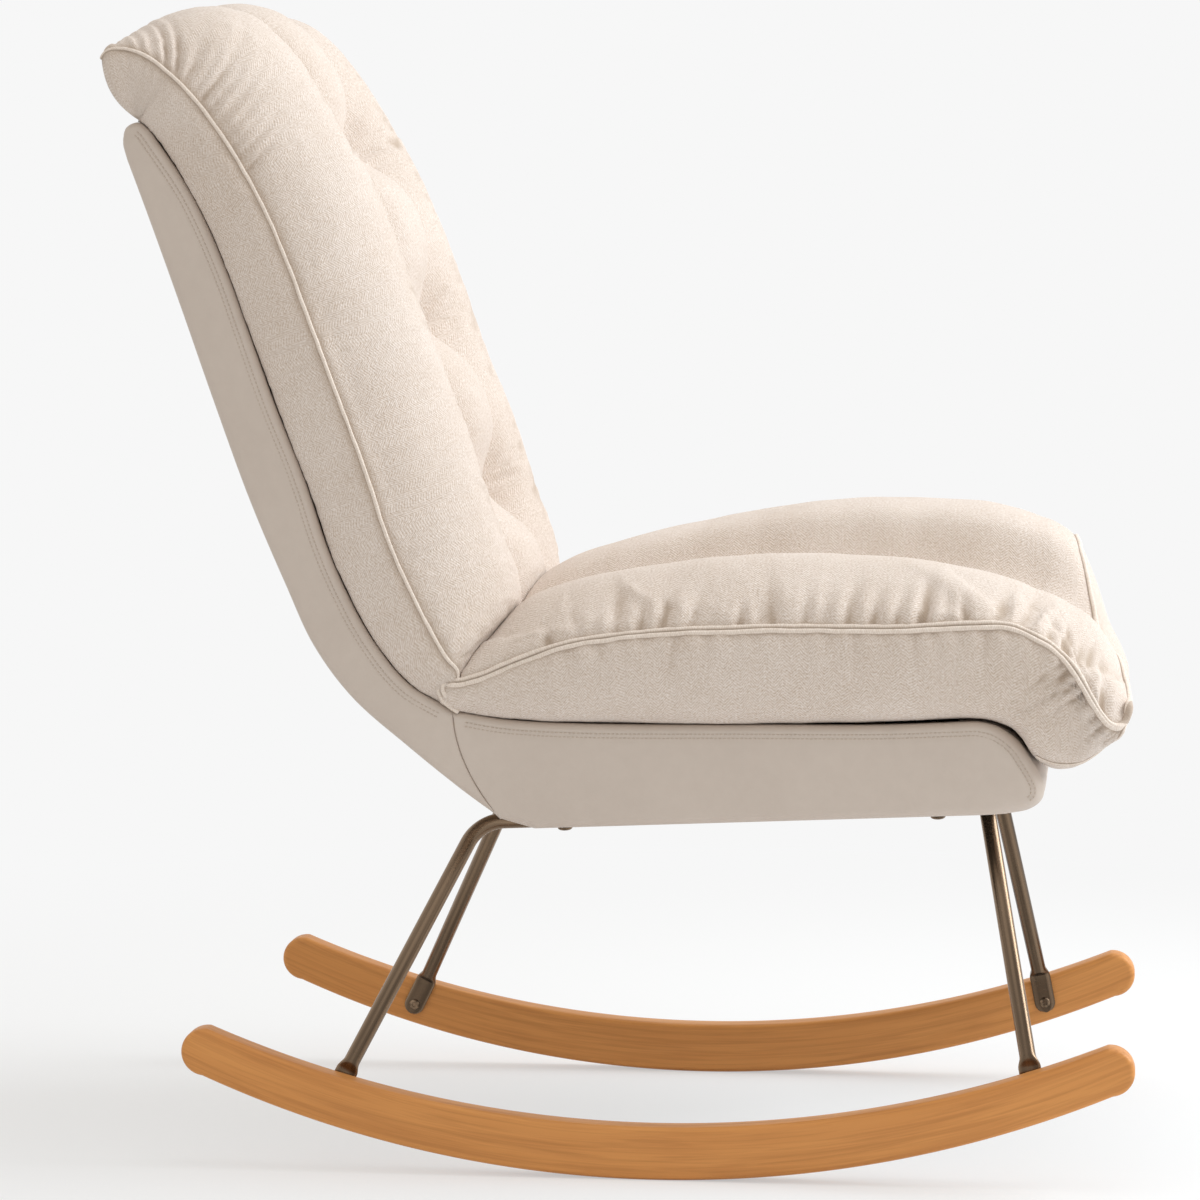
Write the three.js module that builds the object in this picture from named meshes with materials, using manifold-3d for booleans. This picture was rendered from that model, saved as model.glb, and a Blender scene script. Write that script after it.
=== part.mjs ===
// A rocking chair on two bent timber runners: a tubular steel frame carries an upholstered
// shell with a seat cushion and a back cushion.
// Millimetres. +X is the sitter's left, +Y is to the rear, +Z is up.
import * as THREE from 'three';
import { ConvexGeometry } from 'three/addons/geometries/ConvexGeometry.js';
import { mergeVertices } from 'three/addons/utils/BufferGeometryUtils.js';
import Module from 'manifold-3d';

const wasm = await Module();
wasm.setup();

const DEGREE = Math.PI / 180;

// Clearances
const GAP = 0.3;
const OVERRUN = 6;
const mergeShare = 0.001;

// Sides and steps of round shapes
const TUBE_SIDES = 12;
const BORE_SIDES = 8;
const HOLE_SIDES = 10;
const VENT_SIDES = 6;
const BEND_STEPS = 6;
const EDGE_STEPS = 2;
const RUNNER_FACETS = 15;
const RUNNER_TIP_STEPS = 7;
const RING_POINTS = 32;
const HOLLOW_POINTS = 16;
const BACK_RINGS = 20;
const HOLLOW_RINGS = 9;

// Runners
const RUNNER_LENGTH = 950;
const RUNNER_RADIUS = 1112;
const RUNNER_TOP_RADIUS = 1147;
const RUNNER_HEIGHT = 52;
const RUNNER_THICKNESS = 30;
const RUNNER_SPREAD = 568;
const RUNNER_EDGE = 5;

// Steel frame
const TUBE_RADIUS = 8;
const TUBE_WALL = 1.5;
const TUBE_BEND = 40;
const HOOP_BEND = 22;
const HOOP_SETBACK = 22;
const HOOP_FLARE = 11;
const RAIL_SPREAD = 236;
const RAIL_OVERHANG = 73;
const FOOT_WIDTH = 22;
const FOOT_THICKNESS = 3.5;
const FOOT_RISE = 30;
const FOOT_FLARE = 18;
const VENT_RADIUS = 1.5;
const FRONT_FOOT_SHARE = -0.777;
const REAR_FOOT_SHARE = 0.669;
const FOOT_HEIGHT_SHARE = 0.43;

// Shell
const SHELL_WIDTH = 500;
const SHELL_DEPTH = 898;
const SHELL_HEIGHT = 686;
const SHELL_FRONT = -375;
const SHELL_BASE = 337;
const SHELL_EDGE = 9;
const COVER_THICKNESS = 2.5;
const EDGE_PADDING = 1.5;
const CHEEK_THICKNESS = 18;
const DUST_COVER_THICKNESS = 2.5;
const PANEL_THICKNESS = 3;
const BOARD_THICKNESS = 15;
const RAIL_THICKNESS = 22;
const RAIL_DEPTH = 45;
const FRONT_RAIL_SETBACK = 6;
const WEB_WIDTH = 50;
const WEB_THICKNESS = 1.2;
const WEB_MARGIN = 4;

// Fasteners
const BOLT_RADIUS = 3;
const BOLT_HEAD_OVERHANG = 4.5;
const BOLT_HEAD_HEIGHT = 3.5;
const BOLT_TAIL = 4;
const NUT_WALL = 1.5;
const NUT_FLANGE = 4.5;
const NUT_FLANGE_THICKNESS = 1.5;
const NUT_BARREL_LENGTH = 10;
const SCREW_HEAD_OVERHANG = 3;
const SCREW_HEAD_HEIGHT = 3;
const SCREW_RIM = 1.2;
const INSERT_WALL = 2;
const INSERT_LENGTH = 15;
const FRONT_BOLT_SHARE = 0.155;
const REAR_BOLT_SHARE = 0.97;

// Cushions
const SEAT_CUSHION_LENGTH = 659;
const SEAT_CUSHION_OVERHANG = 16;
const SEAT_CUSHION_HEIGHT = 204;
const SEAT_CUSHION_TUCK = 4;
const BACK_CUSHION_OVERHANG = 12;
const BACK_CUSHION_THICKNESS = 158;
const SEAT_CHANNEL_DEPTH = 14;
const BACK_CHANNEL_DEPTH = 8;
const TUFT_DEPTH = 26;
const TUFT_MIDDLE_DIP = 12;
const TUFT_REACH = 44;
const CUSHION_SINK = 3;
const CUSHION_GAP = 0.6;
const CASING_WALL = 20;
const ZIP_LENGTH = 340;
const ZIP_WIDTH = 24;
const ZIP_HEIGHT = 176;

// Side outline of the shell, as shares of its depth from the front and of its height from the base.
const undersideShares = [[0.041, 0.031], [0.551, 0]];
const cornerShares = [[0.551, 0], [0.587, 0.013]];
const rearShares = [
  [0.587, 0.013], [0.629, 0.052], [0.690, 0.115], [0.752, 0.185], [0.794, 0.259], [0.824, 0.344],
  [0.863, 0.464], [0.903, 0.608], [0.937, 0.736], [0.970, 0.857], [0.996, 0.949],
];
const crestShares = [[0.996, 0.949], [1, 0.972], [0.996, 0.993], [0.982, 1], [0.971, 0.990]];
const frontOfBackShares = [
  [0.971, 0.990], [0.924, 0.898], [0.889, 0.799], [0.864, 0.708], [0.837, 0.608], [0.804, 0.5],
  [0.780, 0.405], [0.757, 0.334], [0.729, 0.268], [0.690, 0.206], [0.640, 0.168],
];
const seatEdgeShares = [
  [0.640, 0.168], [0.585, 0.156], [0.501, 0.151], [0.316, 0.153], [0.179, 0.155], [0.097, 0.160],
];
const noseShares = [
  [0.097, 0.160], [0.069, 0.161], [0.048, 0.153], [0.028, 0.134], [0.014, 0.108], [0.0045, 0.087],
  [0, 0.070], [0.003, 0.051], [0.016, 0.038], [0.041, 0.031],
];

const SEAT_CUSHION_WIDTH = SHELL_WIDTH + 2 * SEAT_CUSHION_OVERHANG;
const BACK_CUSHION_WIDTH = SHELL_WIDTH + 2 * BACK_CUSHION_OVERHANG;

// Helpers: solids

function indexed(geometry) {
  const bare = geometry.clone();
  bare.deleteAttribute('normal');
  bare.deleteAttribute('uv');
  return mergeVertices(bare, GAP * mergeShare);
}

function solid(geometry) {
  const merged = indexed(geometry);
  return new wasm.Manifold(new wasm.Mesh({
    numProp: 3,
    vertProperties: new Float32Array(merged.attributes.position.array),
    triVerts: new Uint32Array(merged.index.array),
  }));
}

function geometryOf(body) {
  const mesh = body.getMesh();
  const geometry = new THREE.BufferGeometry();
  geometry.setAttribute('position', new THREE.BufferAttribute(new Float32Array(mesh.vertProperties), 3));
  geometry.setIndex(new THREE.BufferAttribute(new Uint32Array(mesh.triVerts), 1));
  geometry.computeVertexNormals();
  return geometry;
}

function joined(...geometries) {
  return geometryOf(geometries.map(solid).reduce((body, next) => body.add(next)));
}

function cut(geometry, ...tools) {
  return geometryOf(tools.map(solid).reduce((body, tool) => body.subtract(tool), solid(geometry)));
}

function common(geometry, other) {
  return geometryOf(solid(geometry).intersect(solid(other)));
}

function flipped(geometry) {
  const turned = geometry.clone();
  const order = turned.index.array;
  for (let i = 0; i < order.length; i += 3) {
    [order[i + 1], order[i + 2]] = [order[i + 2], order[i + 1]];
  }
  turned.computeVertexNormals();
  return turned;
}

// The same piece for the other side of the chair.
function mirrored(geometry) {
  const other = geometry.index ? geometry.clone() : indexed(geometry);
  other.scale(-1, 1, 1);
  return flipped(other);
}

// Helpers: outlines in the side plane, as points of (y, z)

function shellPoint([depthShare, heightShare]) {
  return new THREE.Vector2(SHELL_FRONT + depthShare * SHELL_DEPTH, SHELL_BASE + heightShare * SHELL_HEIGHT);
}

// A smooth line through shares of the shell's outline.
function shellLine(shares, steps) {
  const places = shares.map(shellPoint).map((p) => new THREE.Vector3(p.x, p.y, 0));
  const curve = new THREE.CatmullRomCurve3(places, false, 'centripetal');
  return curve.getSpacedPoints(steps).map((p) => new THREE.Vector2(p.x, p.y));
}

function chained(...lines) {
  return lines.flatMap((line, i) => (i === 0 ? line : line.slice(1)));
}

function leftNormal(from, to) {
  const along = to.clone().sub(from).normalize();
  return new THREE.Vector2(-along.y, along.x);
}

// A line moved to its left by a distance, with mitred corners; left is into the shell.
function offsetLine(line, distance, closed = false) {
  const count = line.length;
  const normals = line.map((p, i) => leftNormal(p, line[(i + 1) % count]));
  return line.map((p, i) => {
    const ahead = normals[!closed && i === count - 1 ? i - 1 : i];
    const behind = normals[!closed && i === 0 ? 0 : (i + count - 1) % count];
    const mitre = behind.clone().add(ahead).divideScalar(1 + behind.dot(ahead));
    return p.clone().addScaledVector(mitre, distance);
  });
}

function insetLoop(loop, distance) {
  return offsetLine(loop, distance, true);
}

// A strip of even thickness that follows a line.
function stripLoop(line, offset, thickness) {
  return [...offsetLine(line, offset), ...offsetLine(line, offset + thickness).reverse()];
}

// The part of a line between two distances from its start, with the line's own points between.
function stretch(line, start, end) {
  const points = [];
  let walked = 0;
  for (let i = 1; i < line.length; i += 1) {
    const from = walked;
    const span = line[i].distanceTo(line[i - 1]);
    const at = (distance) => line[i - 1].clone().lerp(line[i], (distance - from) / span);
    walked += span;
    if (start >= from && start < walked) {
      points.push(at(start));
    }
    if (walked > start && walked < end) {
      points.push(line[i].clone());
    }
    if (end > from && end <= walked) {
      points.push(at(end));
    }
  }
  return points;
}

function lineLength(line) {
  return line.slice(1).reduce((sum, p, i) => sum + p.distanceTo(line[i]), 0);
}

const SIDE_PLANE = new THREE.Matrix4().makeBasis(
  new THREE.Vector3(0, 1, 0),
  new THREE.Vector3(0, 0, 1),
  new THREE.Vector3(1, 0, 0),
);

// A side outline carried across the chair from one x to another, with both rims rounded by edge.
function across(loop, fromX, toX, edge = 0, edgeSteps = EDGE_STEPS) {
  const geometry = new THREE.ExtrudeGeometry(new THREE.Shape(loop), {
    depth: toX - fromX - 2 * edge,
    bevelEnabled: edge > 0,
    bevelThickness: edge,
    bevelSize: edge,
    bevelOffset: -edge,
    bevelSegments: edgeSteps,
    steps: 1,
  });
  geometry.applyMatrix4(SIDE_PLANE);
  geometry.translate(fromX + edge, 0, 0);
  return geometry;
}

// A turned piece from (radius, height) pairs, its axis along +Z.
function turned(profile, sides) {
  const geometry = new THREE.LatheGeometry(profile.map(([r, h]) => new THREE.Vector2(r, h)), sides);
  return geometry.rotateX(Math.PI / 2);
}

function rod(radius, fromHeight, toHeight, sides = HOLE_SIDES) {
  return turned([[0, fromHeight], [radius, fromHeight], [radius, toHeight], [0, toHeight]], sides);
}

// Helpers: tubes

// A path whose steps fall on its own points, so that a straight run stays one step long.
class PointPath extends THREE.Curve {
  constructor(points) {
    super();
    this.points = points;
  }

  getPoint(t, target = new THREE.Vector3()) {
    const place = t * (this.points.length - 1);
    const i = Math.min(Math.floor(place), this.points.length - 2);
    return target.copy(this.points[i]).lerp(this.points[i + 1], place - i);
  }

  getUtoTmapping(u) {
    return u;
  }

  getTangent(t, target = new THREE.Vector3()) {
    const last = this.points.length - 1;
    const i = Math.round(t * last);
    const before = this.points[i].clone().sub(this.points[Math.max(i - 1, 0)]).normalize();
    const after = this.points[Math.min(i + 1, last)].clone().sub(this.points[i]).normalize();
    return target.copy(before).add(after).normalize();
  }
}

// Corner points with each inner corner replaced by an arc of the bend's radius.
function bentPoints(corners, bend, steps) {
  const points = [corners[0]];
  for (let i = 1; i < corners.length - 1; i += 1) {
    const corner = corners[i];
    const back = corners[i - 1].clone().sub(corner).normalize();
    const ahead = corners[i + 1].clone().sub(corner).normalize();
    const half = back.angleTo(ahead) / 2;
    const centre = corner.clone().addScaledVector(back.clone().add(ahead).normalize(), bend / Math.sin(half));
    const start = corner.clone().addScaledVector(back, bend / Math.tan(half)).sub(centre);
    const axis = back.clone().cross(ahead).normalize();
    const turn = 2 * half - Math.PI;
    for (let k = 0; k <= steps; k += 1) {
      points.push(start.clone().applyAxisAngle(axis, (turn * k) / steps).add(centre));
    }
  }
  points.push(corners[corners.length - 1]);
  return points;
}

function tube(points, radius, sides) {
  const section = new THREE.Shape();
  section.absarc(0, 0, radius, 0, 2 * Math.PI);
  return new THREE.ExtrudeGeometry(section, {
    steps: points.length - 1,
    curveSegments: sides / 2,
    extrudePath: new PointPath(points),
  });
}

// Helpers: soft forms

// A closed skin over rings of equal count, with a fan at each end.
function loft(rings) {
  const count = rings[0].length;
  const places = rings.flat();
  const order = [];
  for (let i = 0; i < rings.length - 1; i += 1) {
    for (let k = 0; k < count; k += 1) {
      const a = i * count + k;
      const b = i * count + ((k + 1) % count);
      order.push(a, b, b + count, a, b + count, a + count);
    }
  }
  const middle = (ring) => ring.reduce((sum, p) => sum.add(p), new THREE.Vector3()).divideScalar(count);
  const first = places.push(middle(rings[0])) - 1;
  const last = places.push(middle(rings[rings.length - 1])) - 1;
  for (let k = 0; k < count; k += 1) {
    const next = (k + 1) % count;
    const end = (rings.length - 1) * count;
    order.push(first, next, k, last, end + k, end + next);
  }
  const geometry = new THREE.BufferGeometry().setFromPoints(places);
  geometry.setIndex(order);
  geometry.computeVertexNormals();
  return solid(geometry).volume() > 0 ? geometry : flipped(geometry);
}

// A smooth closed ring of points through half a section, mirrored about x = 0.
function ringThrough(half, count) {
  const other = half.slice(1, -1).reverse().map((p) => new THREE.Vector3(-p.x, p.y, p.z));
  const curve = new THREE.CatmullRomCurve3([...half, ...other], true, 'centripetal');
  return curve.getSpacedPoints(count).slice(0, count);
}

// Half a cushion's section, from the middle of its face over the channel and the side roll, round
// the side seam and under to the middle of its base, as pairs of a place across and a height.
// Places are shares of the half width, and heights are shares of the way between two levels.
const seatSectionShares = { shoulder: [0.21, 0.16], channel: 0.38, roll: 0.65 };
const backSectionShares = { shoulder: [0.17, 0.28], channel: 0.31, roll: 0.6 };
const brimShares = [0.865, 0.64];
const underShares = [[1, 0.5], [0.95, 0.1], [0.84, 0]];
function halfSection(shares, width, { middle, channel, roll, seam, low }) {
  const [shoulderPlace, shoulderDrop] = shares.shoulder;
  return [
    [0, middle],
    [shoulderPlace * width, THREE.MathUtils.lerp(middle, channel, shoulderDrop)],
    [shares.channel * width, channel],
    [shares.roll * width, roll],
    [brimShares[0] * width, THREE.MathUtils.lerp(seam, roll, brimShares[1])],
    [width, seam],
    ...underShares.map(([place, way]) => [place * width, THREE.MathUtils.lerp(low, seam, way)]),
    [0, low],
  ];
}

// The row of a table at a place between 0 and 1, between its two nearest rows.
function rowAt(table, place) {
  const spot = place * (table.length - 1);
  const i = Math.min(Math.floor(spot), table.length - 2);
  return table[i].map((value, k) => THREE.MathUtils.lerp(value, table[i + 1][k], spot - i));
}

// Materials

function material(color, roughness, metalness = 0) {
  return new THREE.MeshStandardMaterial({ color, roughness, metalness });
}

const timber = material(0xd49a5c, 0.5);
const bronze = material(0x8a6f52, 0.32, 0.9);
const steel = material(0x9c9a96, 0.4, 0.9);
const leatherette = material(0xc2b2a4, 0.55);
const fabric = material(0xece0d2, 0.9);
const plywood = material(0xcbb48c, 0.7);
const hardboard = material(0x8d6f4f, 0.8);
const webbing = material(0x3c3a38, 0.9);
const lining = material(0x2c2b2a, 0.9);

const chair = new THREE.Group();

function place(name, geometry, finish, parent = chair) {
  const mesh = new THREE.Mesh(geometry, finish);
  mesh.name = name;
  parent.add(mesh);
  return mesh;
}

const SIDES = [['right', -1], ['left', 1]];

function forSide(geometry, sign) {
  return sign < 0 ? geometry : mirrored(geometry);
}

// Sizes of the fasteners that the holes share

const NUT_RADIUS = BOLT_RADIUS + GAP + NUT_WALL;
const INSERT_RADIUS = BOLT_RADIUS + GAP + INSERT_WALL;

// Runners

const RUNNER_OUTER = RUNNER_SPREAD / 2;
const RUNNER_INNER = RUNNER_OUTER - RUNNER_THICKNESS;

function runnerUnderside(y) {
  return RUNNER_RADIUS - Math.sqrt(RUNNER_RADIUS ** 2 - y ** 2);
}

// Two arcs with a half round at each tip; the lowest facet is centred and lies on the floor.
function runnerOutline() {
  const reach = RUNNER_LENGTH / 2 - RUNNER_HEIGHT / 2;
  const lowAngle = Math.asin(reach / RUNNER_RADIUS);
  const highAngle = Math.asin((reach - RUNNER_EDGE) / RUNNER_TOP_RADIUS);
  const facet = (2 * lowAngle) / RUNNER_FACETS;
  const sag = RUNNER_RADIUS * (1 - Math.cos(facet / 2));
  const low = [];
  const high = [];
  for (let i = 0; i <= RUNNER_FACETS; i += 1) {
    const angle = -lowAngle + i * facet;
    const drop = RUNNER_RADIUS * (1 - Math.cos(angle));
    low.push(new THREE.Vector2(RUNNER_RADIUS * Math.sin(angle), drop - sag));
    const upper = highAngle * (1 - (2 * i) / RUNNER_FACETS);
    const rise = RUNNER_TOP_RADIUS * (1 - Math.cos(upper));
    high.push(new THREE.Vector2(RUNNER_TOP_RADIUS * Math.sin(upper), RUNNER_HEIGHT + rise));
  }
  const tip = (from, to) => {
    const centre = from.clone().add(to).divideScalar(2);
    const arm = from.clone().sub(centre);
    const points = [];
    for (let k = 1; k < RUNNER_TIP_STEPS; k += 1) {
      const turn = (Math.PI * k) / RUNNER_TIP_STEPS;
      points.push(arm.clone().rotateAround(new THREE.Vector2(), turn).add(centre));
    }
    return points;
  };
  return [...low, ...tip(low[RUNNER_FACETS], high[0]), ...high, ...tip(high[RUNNER_FACETS], low[0])];
}

// Feet of the steel frame: the screw's place on each runner's inner face

function footPoint(share) {
  const y = (share * RUNNER_LENGTH) / 2;
  return new THREE.Vector3(-RUNNER_INNER, y, runnerUnderside(y) + FOOT_HEIGHT_SHARE * RUNNER_HEIGHT);
}

const frontFoot = footPoint(FRONT_FOOT_SHARE);
const rearFoot = footPoint(REAR_FOOT_SHARE);

function drilledRunner() {
  const body = across(runnerOutline(), -RUNNER_OUTER, -RUNNER_INNER, RUNNER_EDGE);
  const holes = [frontFoot, rearFoot].map((foot) => {
    const hole = rod(INSERT_RADIUS + GAP, -INSERT_LENGTH - GAP, OVERRUN).rotateY(Math.PI / 2);
    return hole.translate(foot.x, foot.y, foot.z);
  });
  return cut(body, ...holes);
}

const runner = drilledRunner();
for (const [side, sign] of SIDES) {
  place(`runner_${side}`, forSide(runner, sign), timber);
}

// The seat's own frame: s runs to the rear along the shell's underside and t stands square to it

const undersideFront = shellPoint(undersideShares[0]);
const undersideRear = shellPoint(undersideShares[1]);
const UNDERSIDE_LENGTH = undersideFront.distanceTo(undersideRear);
const seatAlong = undersideRear.clone().sub(undersideFront).normalize();
const seatUp = new THREE.Vector2(-seatAlong.y, seatAlong.x);

const seatFrame = new THREE.Group();
seatFrame.position.set(0, undersideFront.x, undersideFront.y);
seatFrame.rotation.x = Math.atan2(seatAlong.y, seatAlong.x);
chair.add(seatFrame);

function seatPoint(x, s, t) {
  const p = undersideFront.clone().addScaledVector(seatAlong, s).addScaledVector(seatUp, t);
  return new THREE.Vector3(x, p.x, p.y);
}

// Steel frame

const RAIL_X = RAIL_SPREAD / 2;
const RAIL_LEVEL = -(GAP + TUBE_RADIUS);
const FOOT_X = RUNNER_INNER - GAP - FOOT_THICKNESS / 2;
const hoopCorner = seatPoint(-RAIL_X - HOOP_FLARE, HOOP_SETBACK, RAIL_LEVEL);
const railCorner = seatPoint(-RAIL_X, UNDERSIDE_LENGTH + RAIL_OVERHANG, RAIL_LEVEL);

// Where a leg leaves its flattened foot: a rise above the screw, towards the leg's top.
function legRoot(foot, top) {
  const lean = new THREE.Vector3(0, top.y - foot.y, top.z - foot.z).normalize();
  return new THREE.Vector3(-FOOT_X, foot.y, foot.z).addScaledVector(lean, FOOT_RISE);
}

// The flattened end of a leg: a flat tab with a round end, and the flare up to the round tube.
function legFoot(foot, top) {
  const root = legRoot(foot, top);
  const lean = new THREE.Vector3(0, root.y - foot.y, root.z - foot.z).normalize();
  const breadth = new THREE.Vector3(0, lean.z, -lean.y);
  const face = breadth.clone().cross(lean);
  const half = FOOT_WIDTH / 2;
  const tab = new THREE.Shape();
  tab.moveTo(half, FOOT_RISE);
  tab.lineTo(-half, FOOT_RISE);
  tab.lineTo(-half, 0);
  tab.absarc(0, 0, half, Math.PI, 2 * Math.PI);
  tab.lineTo(half, FOOT_RISE);
  const plate = new THREE.ExtrudeGeometry(tab, {
    depth: FOOT_THICKNESS,
    bevelEnabled: false,
    curveSegments: HOLE_SIDES,
  });
  plate.applyMatrix4(new THREE.Matrix4().makeBasis(breadth, lean, face));
  plate.translate(-FOOT_X - (Math.sign(face.x) * FOOT_THICKNESS) / 2, foot.y, foot.z);
  const rise = top.clone().sub(root).normalize();
  const neck = root.clone().addScaledVector(rise, FOOT_FLARE);
  const flare = new ConvexGeometry([
    ...flareRoot(root, breadth, lean),
    ...circlePoints(neck, breadth, rise.clone().cross(breadth).normalize()),
  ]);
  const hole = rod(BOLT_RADIUS + GAP, -OVERRUN, OVERRUN).rotateY(Math.PI / 2);
  return { body: joined(plate, flare), hole: hole.translate(-FOOT_X, foot.y, foot.z), neck };
}

// The eight corners of the flat end where the flare takes over from the tab.
function flareRoot(root, breadth, lean) {
  const points = [];
  for (const side of [-1, 1]) {
    for (const through of [-1, 1]) {
      for (const down of [0, FOOT_THICKNESS]) {
        const corner = root.clone().addScaledVector(breadth, (side * FOOT_WIDTH) / 2);
        corner.x += (through * FOOT_THICKNESS) / 2;
        points.push(corner.addScaledVector(lean, -down));
      }
    }
  }
  return points;
}

function circlePoints(centre, first, second) {
  return Array.from({ length: TUBE_SIDES }, (_, k) => {
    const angle = (2 * Math.PI * k) / TUBE_SIDES;
    return centre.clone()
      .addScaledVector(first, TUBE_RADIUS * Math.cos(angle))
      .addScaledVector(second, TUBE_RADIUS * Math.sin(angle));
  });
}

// A drilled vent near the foot, as plated tube has.
function ventHole(neck, top) {
  const along = top.clone().sub(neck).normalize();
  const spot = neck.clone().addScaledVector(along, FOOT_FLARE);
  const drill = rod(VENT_RADIUS, 0, TUBE_RADIUS + OVERRUN, VENT_SIDES).rotateY(Math.PI / 2);
  return drill.translate(spot.x, spot.y, spot.z);
}

const boltPlaces = [FRONT_BOLT_SHARE, REAR_BOLT_SHARE].map((share) => share * UNDERSIDE_LENGTH);
const hoopFoot = legFoot(frontFoot, hoopCorner);

// A tube along the front legs and the bar between them, from a distance past each neck.
function hoopTube(radius, sides, start) {
  const mirror = (p) => new THREE.Vector3(-p.x, p.y, p.z);
  const along = hoopCorner.clone().sub(hoopFoot.neck).normalize();
  const root = hoopFoot.neck.clone().addScaledVector(along, start);
  const corners = [root, hoopCorner, mirror(hoopCorner), mirror(root)];
  return tube(bentPoints(corners, HOOP_BEND, BEND_STEPS), radius, sides);
}

// The front legs and the bar between them are one bent tube.
function frontHoop() {
  const vent = ventHole(hoopFoot.neck, hoopCorner);
  const body = joined(hoopFoot.body, mirrored(hoopFoot.body), hoopTube(TUBE_RADIUS, TUBE_SIDES, -GAP));
  const bore = hoopTube(TUBE_RADIUS - TUBE_WALL, BORE_SIDES, GAP);
  return cut(body, bore, hoopFoot.hole, mirrored(hoopFoot.hole), vent, mirrored(vent));
}

// A rear leg and its rail are one bent tube; the rail's front end is coped to the hoop.
function sideTube() {
  const foot = legFoot(rearFoot, railCorner);
  const along = railCorner.clone().sub(foot.neck).normalize();
  const run = (start, endS, radius, sides) => {
    const corners = [
      foot.neck.clone().addScaledVector(along, start),
      railCorner,
      seatPoint(-RAIL_X, endS, RAIL_LEVEL),
    ];
    return tube(bentPoints(corners, TUBE_BEND, BEND_STEPS), radius, sides);
  };
  const skin = run(-GAP, HOOP_SETBACK + TUBE_RADIUS / 2, TUBE_RADIUS, TUBE_SIDES);
  const bore = run(GAP, HOOP_SETBACK - TUBE_RADIUS, TUBE_RADIUS - TUBE_WALL, BORE_SIDES);
  const cope = hoopTube(TUBE_RADIUS + GAP, TUBE_SIDES, 0);
  const drills = boltPlaces.map((s) => {
    const drill = rod(BOLT_RADIUS + GAP, -TUBE_RADIUS - OVERRUN, TUBE_RADIUS + OVERRUN);
    const spot = seatPoint(-RAIL_X, s, RAIL_LEVEL);
    return drill.rotateX(seatFrame.rotation.x).translate(spot.x, spot.y, spot.z);
  });
  return cut(joined(foot.body, skin), bore, foot.hole, cope, ventHole(foot.neck, railCorner), ...drills);
}

const bentSide = sideTube();
for (const [side, sign] of SIDES) {
  place(`leg_and_rail_${side}`, forSide(bentSide, sign), bronze);
}
place('front_leg_hoop', frontHoop(), bronze);

// Shell: cheeks, boards and rails

const underside = undersideShares.map(shellPoint);
const corner = shellLine(cornerShares, 1);
const rear = shellLine(rearShares, 13);
const crest = shellLine(crestShares, 5);
const frontOfBack = shellLine(frontOfBackShares, 13);
const seatEdge = shellLine(seatEdgeShares, 6);
const nose = shellLine(noseShares, 10);
const shellLoop = chained(underside, corner, rear, crest, frontOfBack, seatEdge, nose).slice(0, -1);

const COVER_OUTER = SHELL_WIDTH / 2;
const CHEEK_OUTER = COVER_OUTER - COVER_THICKNESS - GAP;
const CHEEK_INNER = CHEEK_OUTER - CHEEK_THICKNESS;
const BETWEEN_CHEEKS = CHEEK_INNER - GAP;
const CHEEK_INSET = COVER_THICKNESS + GAP + EDGE_PADDING + WEB_THICKNESS;
const INNER_EDGE = SHELL_EDGE - COVER_THICKNESS;

// Everything behind the seam that parts the back's side from the seat's side.
function behindSeam(clearance) {
  const low = shellPoint(rearShares[0]);
  const high = shellPoint(seatEdgeShares[0]);
  const up = high.clone().sub(low).normalize();
  const back = new THREE.Vector2(up.y, -up.x);
  const start = low.clone().addScaledVector(up, -SHELL_DEPTH).addScaledVector(back, clearance);
  const end = high.clone().addScaledVector(up, SHELL_HEIGHT + SHELL_DEPTH).addScaledVector(back, clearance);
  const loop = [
    start,
    start.clone().addScaledVector(back, SHELL_DEPTH),
    end.clone().addScaledVector(back, SHELL_DEPTH),
    end,
  ];
  return across(loop, -SHELL_WIDTH, 0);
}

// The leatherette cover of one side: a tray over the cheek, open towards the middle.
function sideCover() {
  const depth = COVER_THICKNESS + GAP + CHEEK_THICKNESS;
  const block = across(shellLoop, -COVER_OUTER, -COVER_OUTER + 2 * depth, SHELL_EDGE);
  const keep = across(insetLoop(shellLoop, -OVERRUN), -COVER_OUTER - OVERRUN, -COVER_OUTER + depth);
  const hollowLoop = insetLoop(shellLoop, COVER_THICKNESS);
  const inside = across(hollowLoop, -COVER_OUTER + COVER_THICKNESS, 0, INNER_EDGE);
  return cut(common(block, keep), inside);
}

const coverTray = sideCover();
// The cheeks end straight across below the crest, which is padding.
const cheekTop = [rear[rear.length - 1], frontOfBack[0]];
const cheekLoop = chained(underside, corner, rear, cheekTop, frontOfBack, seatEdge, nose).slice(0, -1);
const cheekBlank = across(insetLoop(cheekLoop, CHEEK_INSET), -CHEEK_OUTER, -CHEEK_INNER, INNER_EDGE, 1);
for (const [side, sign] of SIDES) {
  const pieces = [
    [`back_side_cover_${side}`, common(coverTray, behindSeam(GAP / 2)), leatherette],
    [`seat_side_cover_${side}`, cut(coverTray, behindSeam(-GAP / 2)), leatherette],
    [`back_cheek_${side}`, common(cheekBlank, behindSeam(GAP / 2)), plywood],
    [`seat_cheek_${side}`, cut(cheekBlank, behindSeam(-GAP / 2)), plywood],
  ];
  for (const [name, geometry, finish] of pieces) {
    place(name, forSide(geometry, sign), finish);
  }
}

// Covers between the two sides

function betweenCheeks(loop) {
  return across(loop, -BETWEEN_CHEEKS, BETWEEN_CHEEKS);
}

place('back_cover', betweenCheeks(stripLoop(chained(corner, rear, crest), 0, COVER_THICKNESS)), leatherette);
place('front_cover', betweenCheeks(stripLoop(nose.slice(1), 0, COVER_THICKNESS)), leatherette);

// The drilled pieces under the seat

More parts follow.
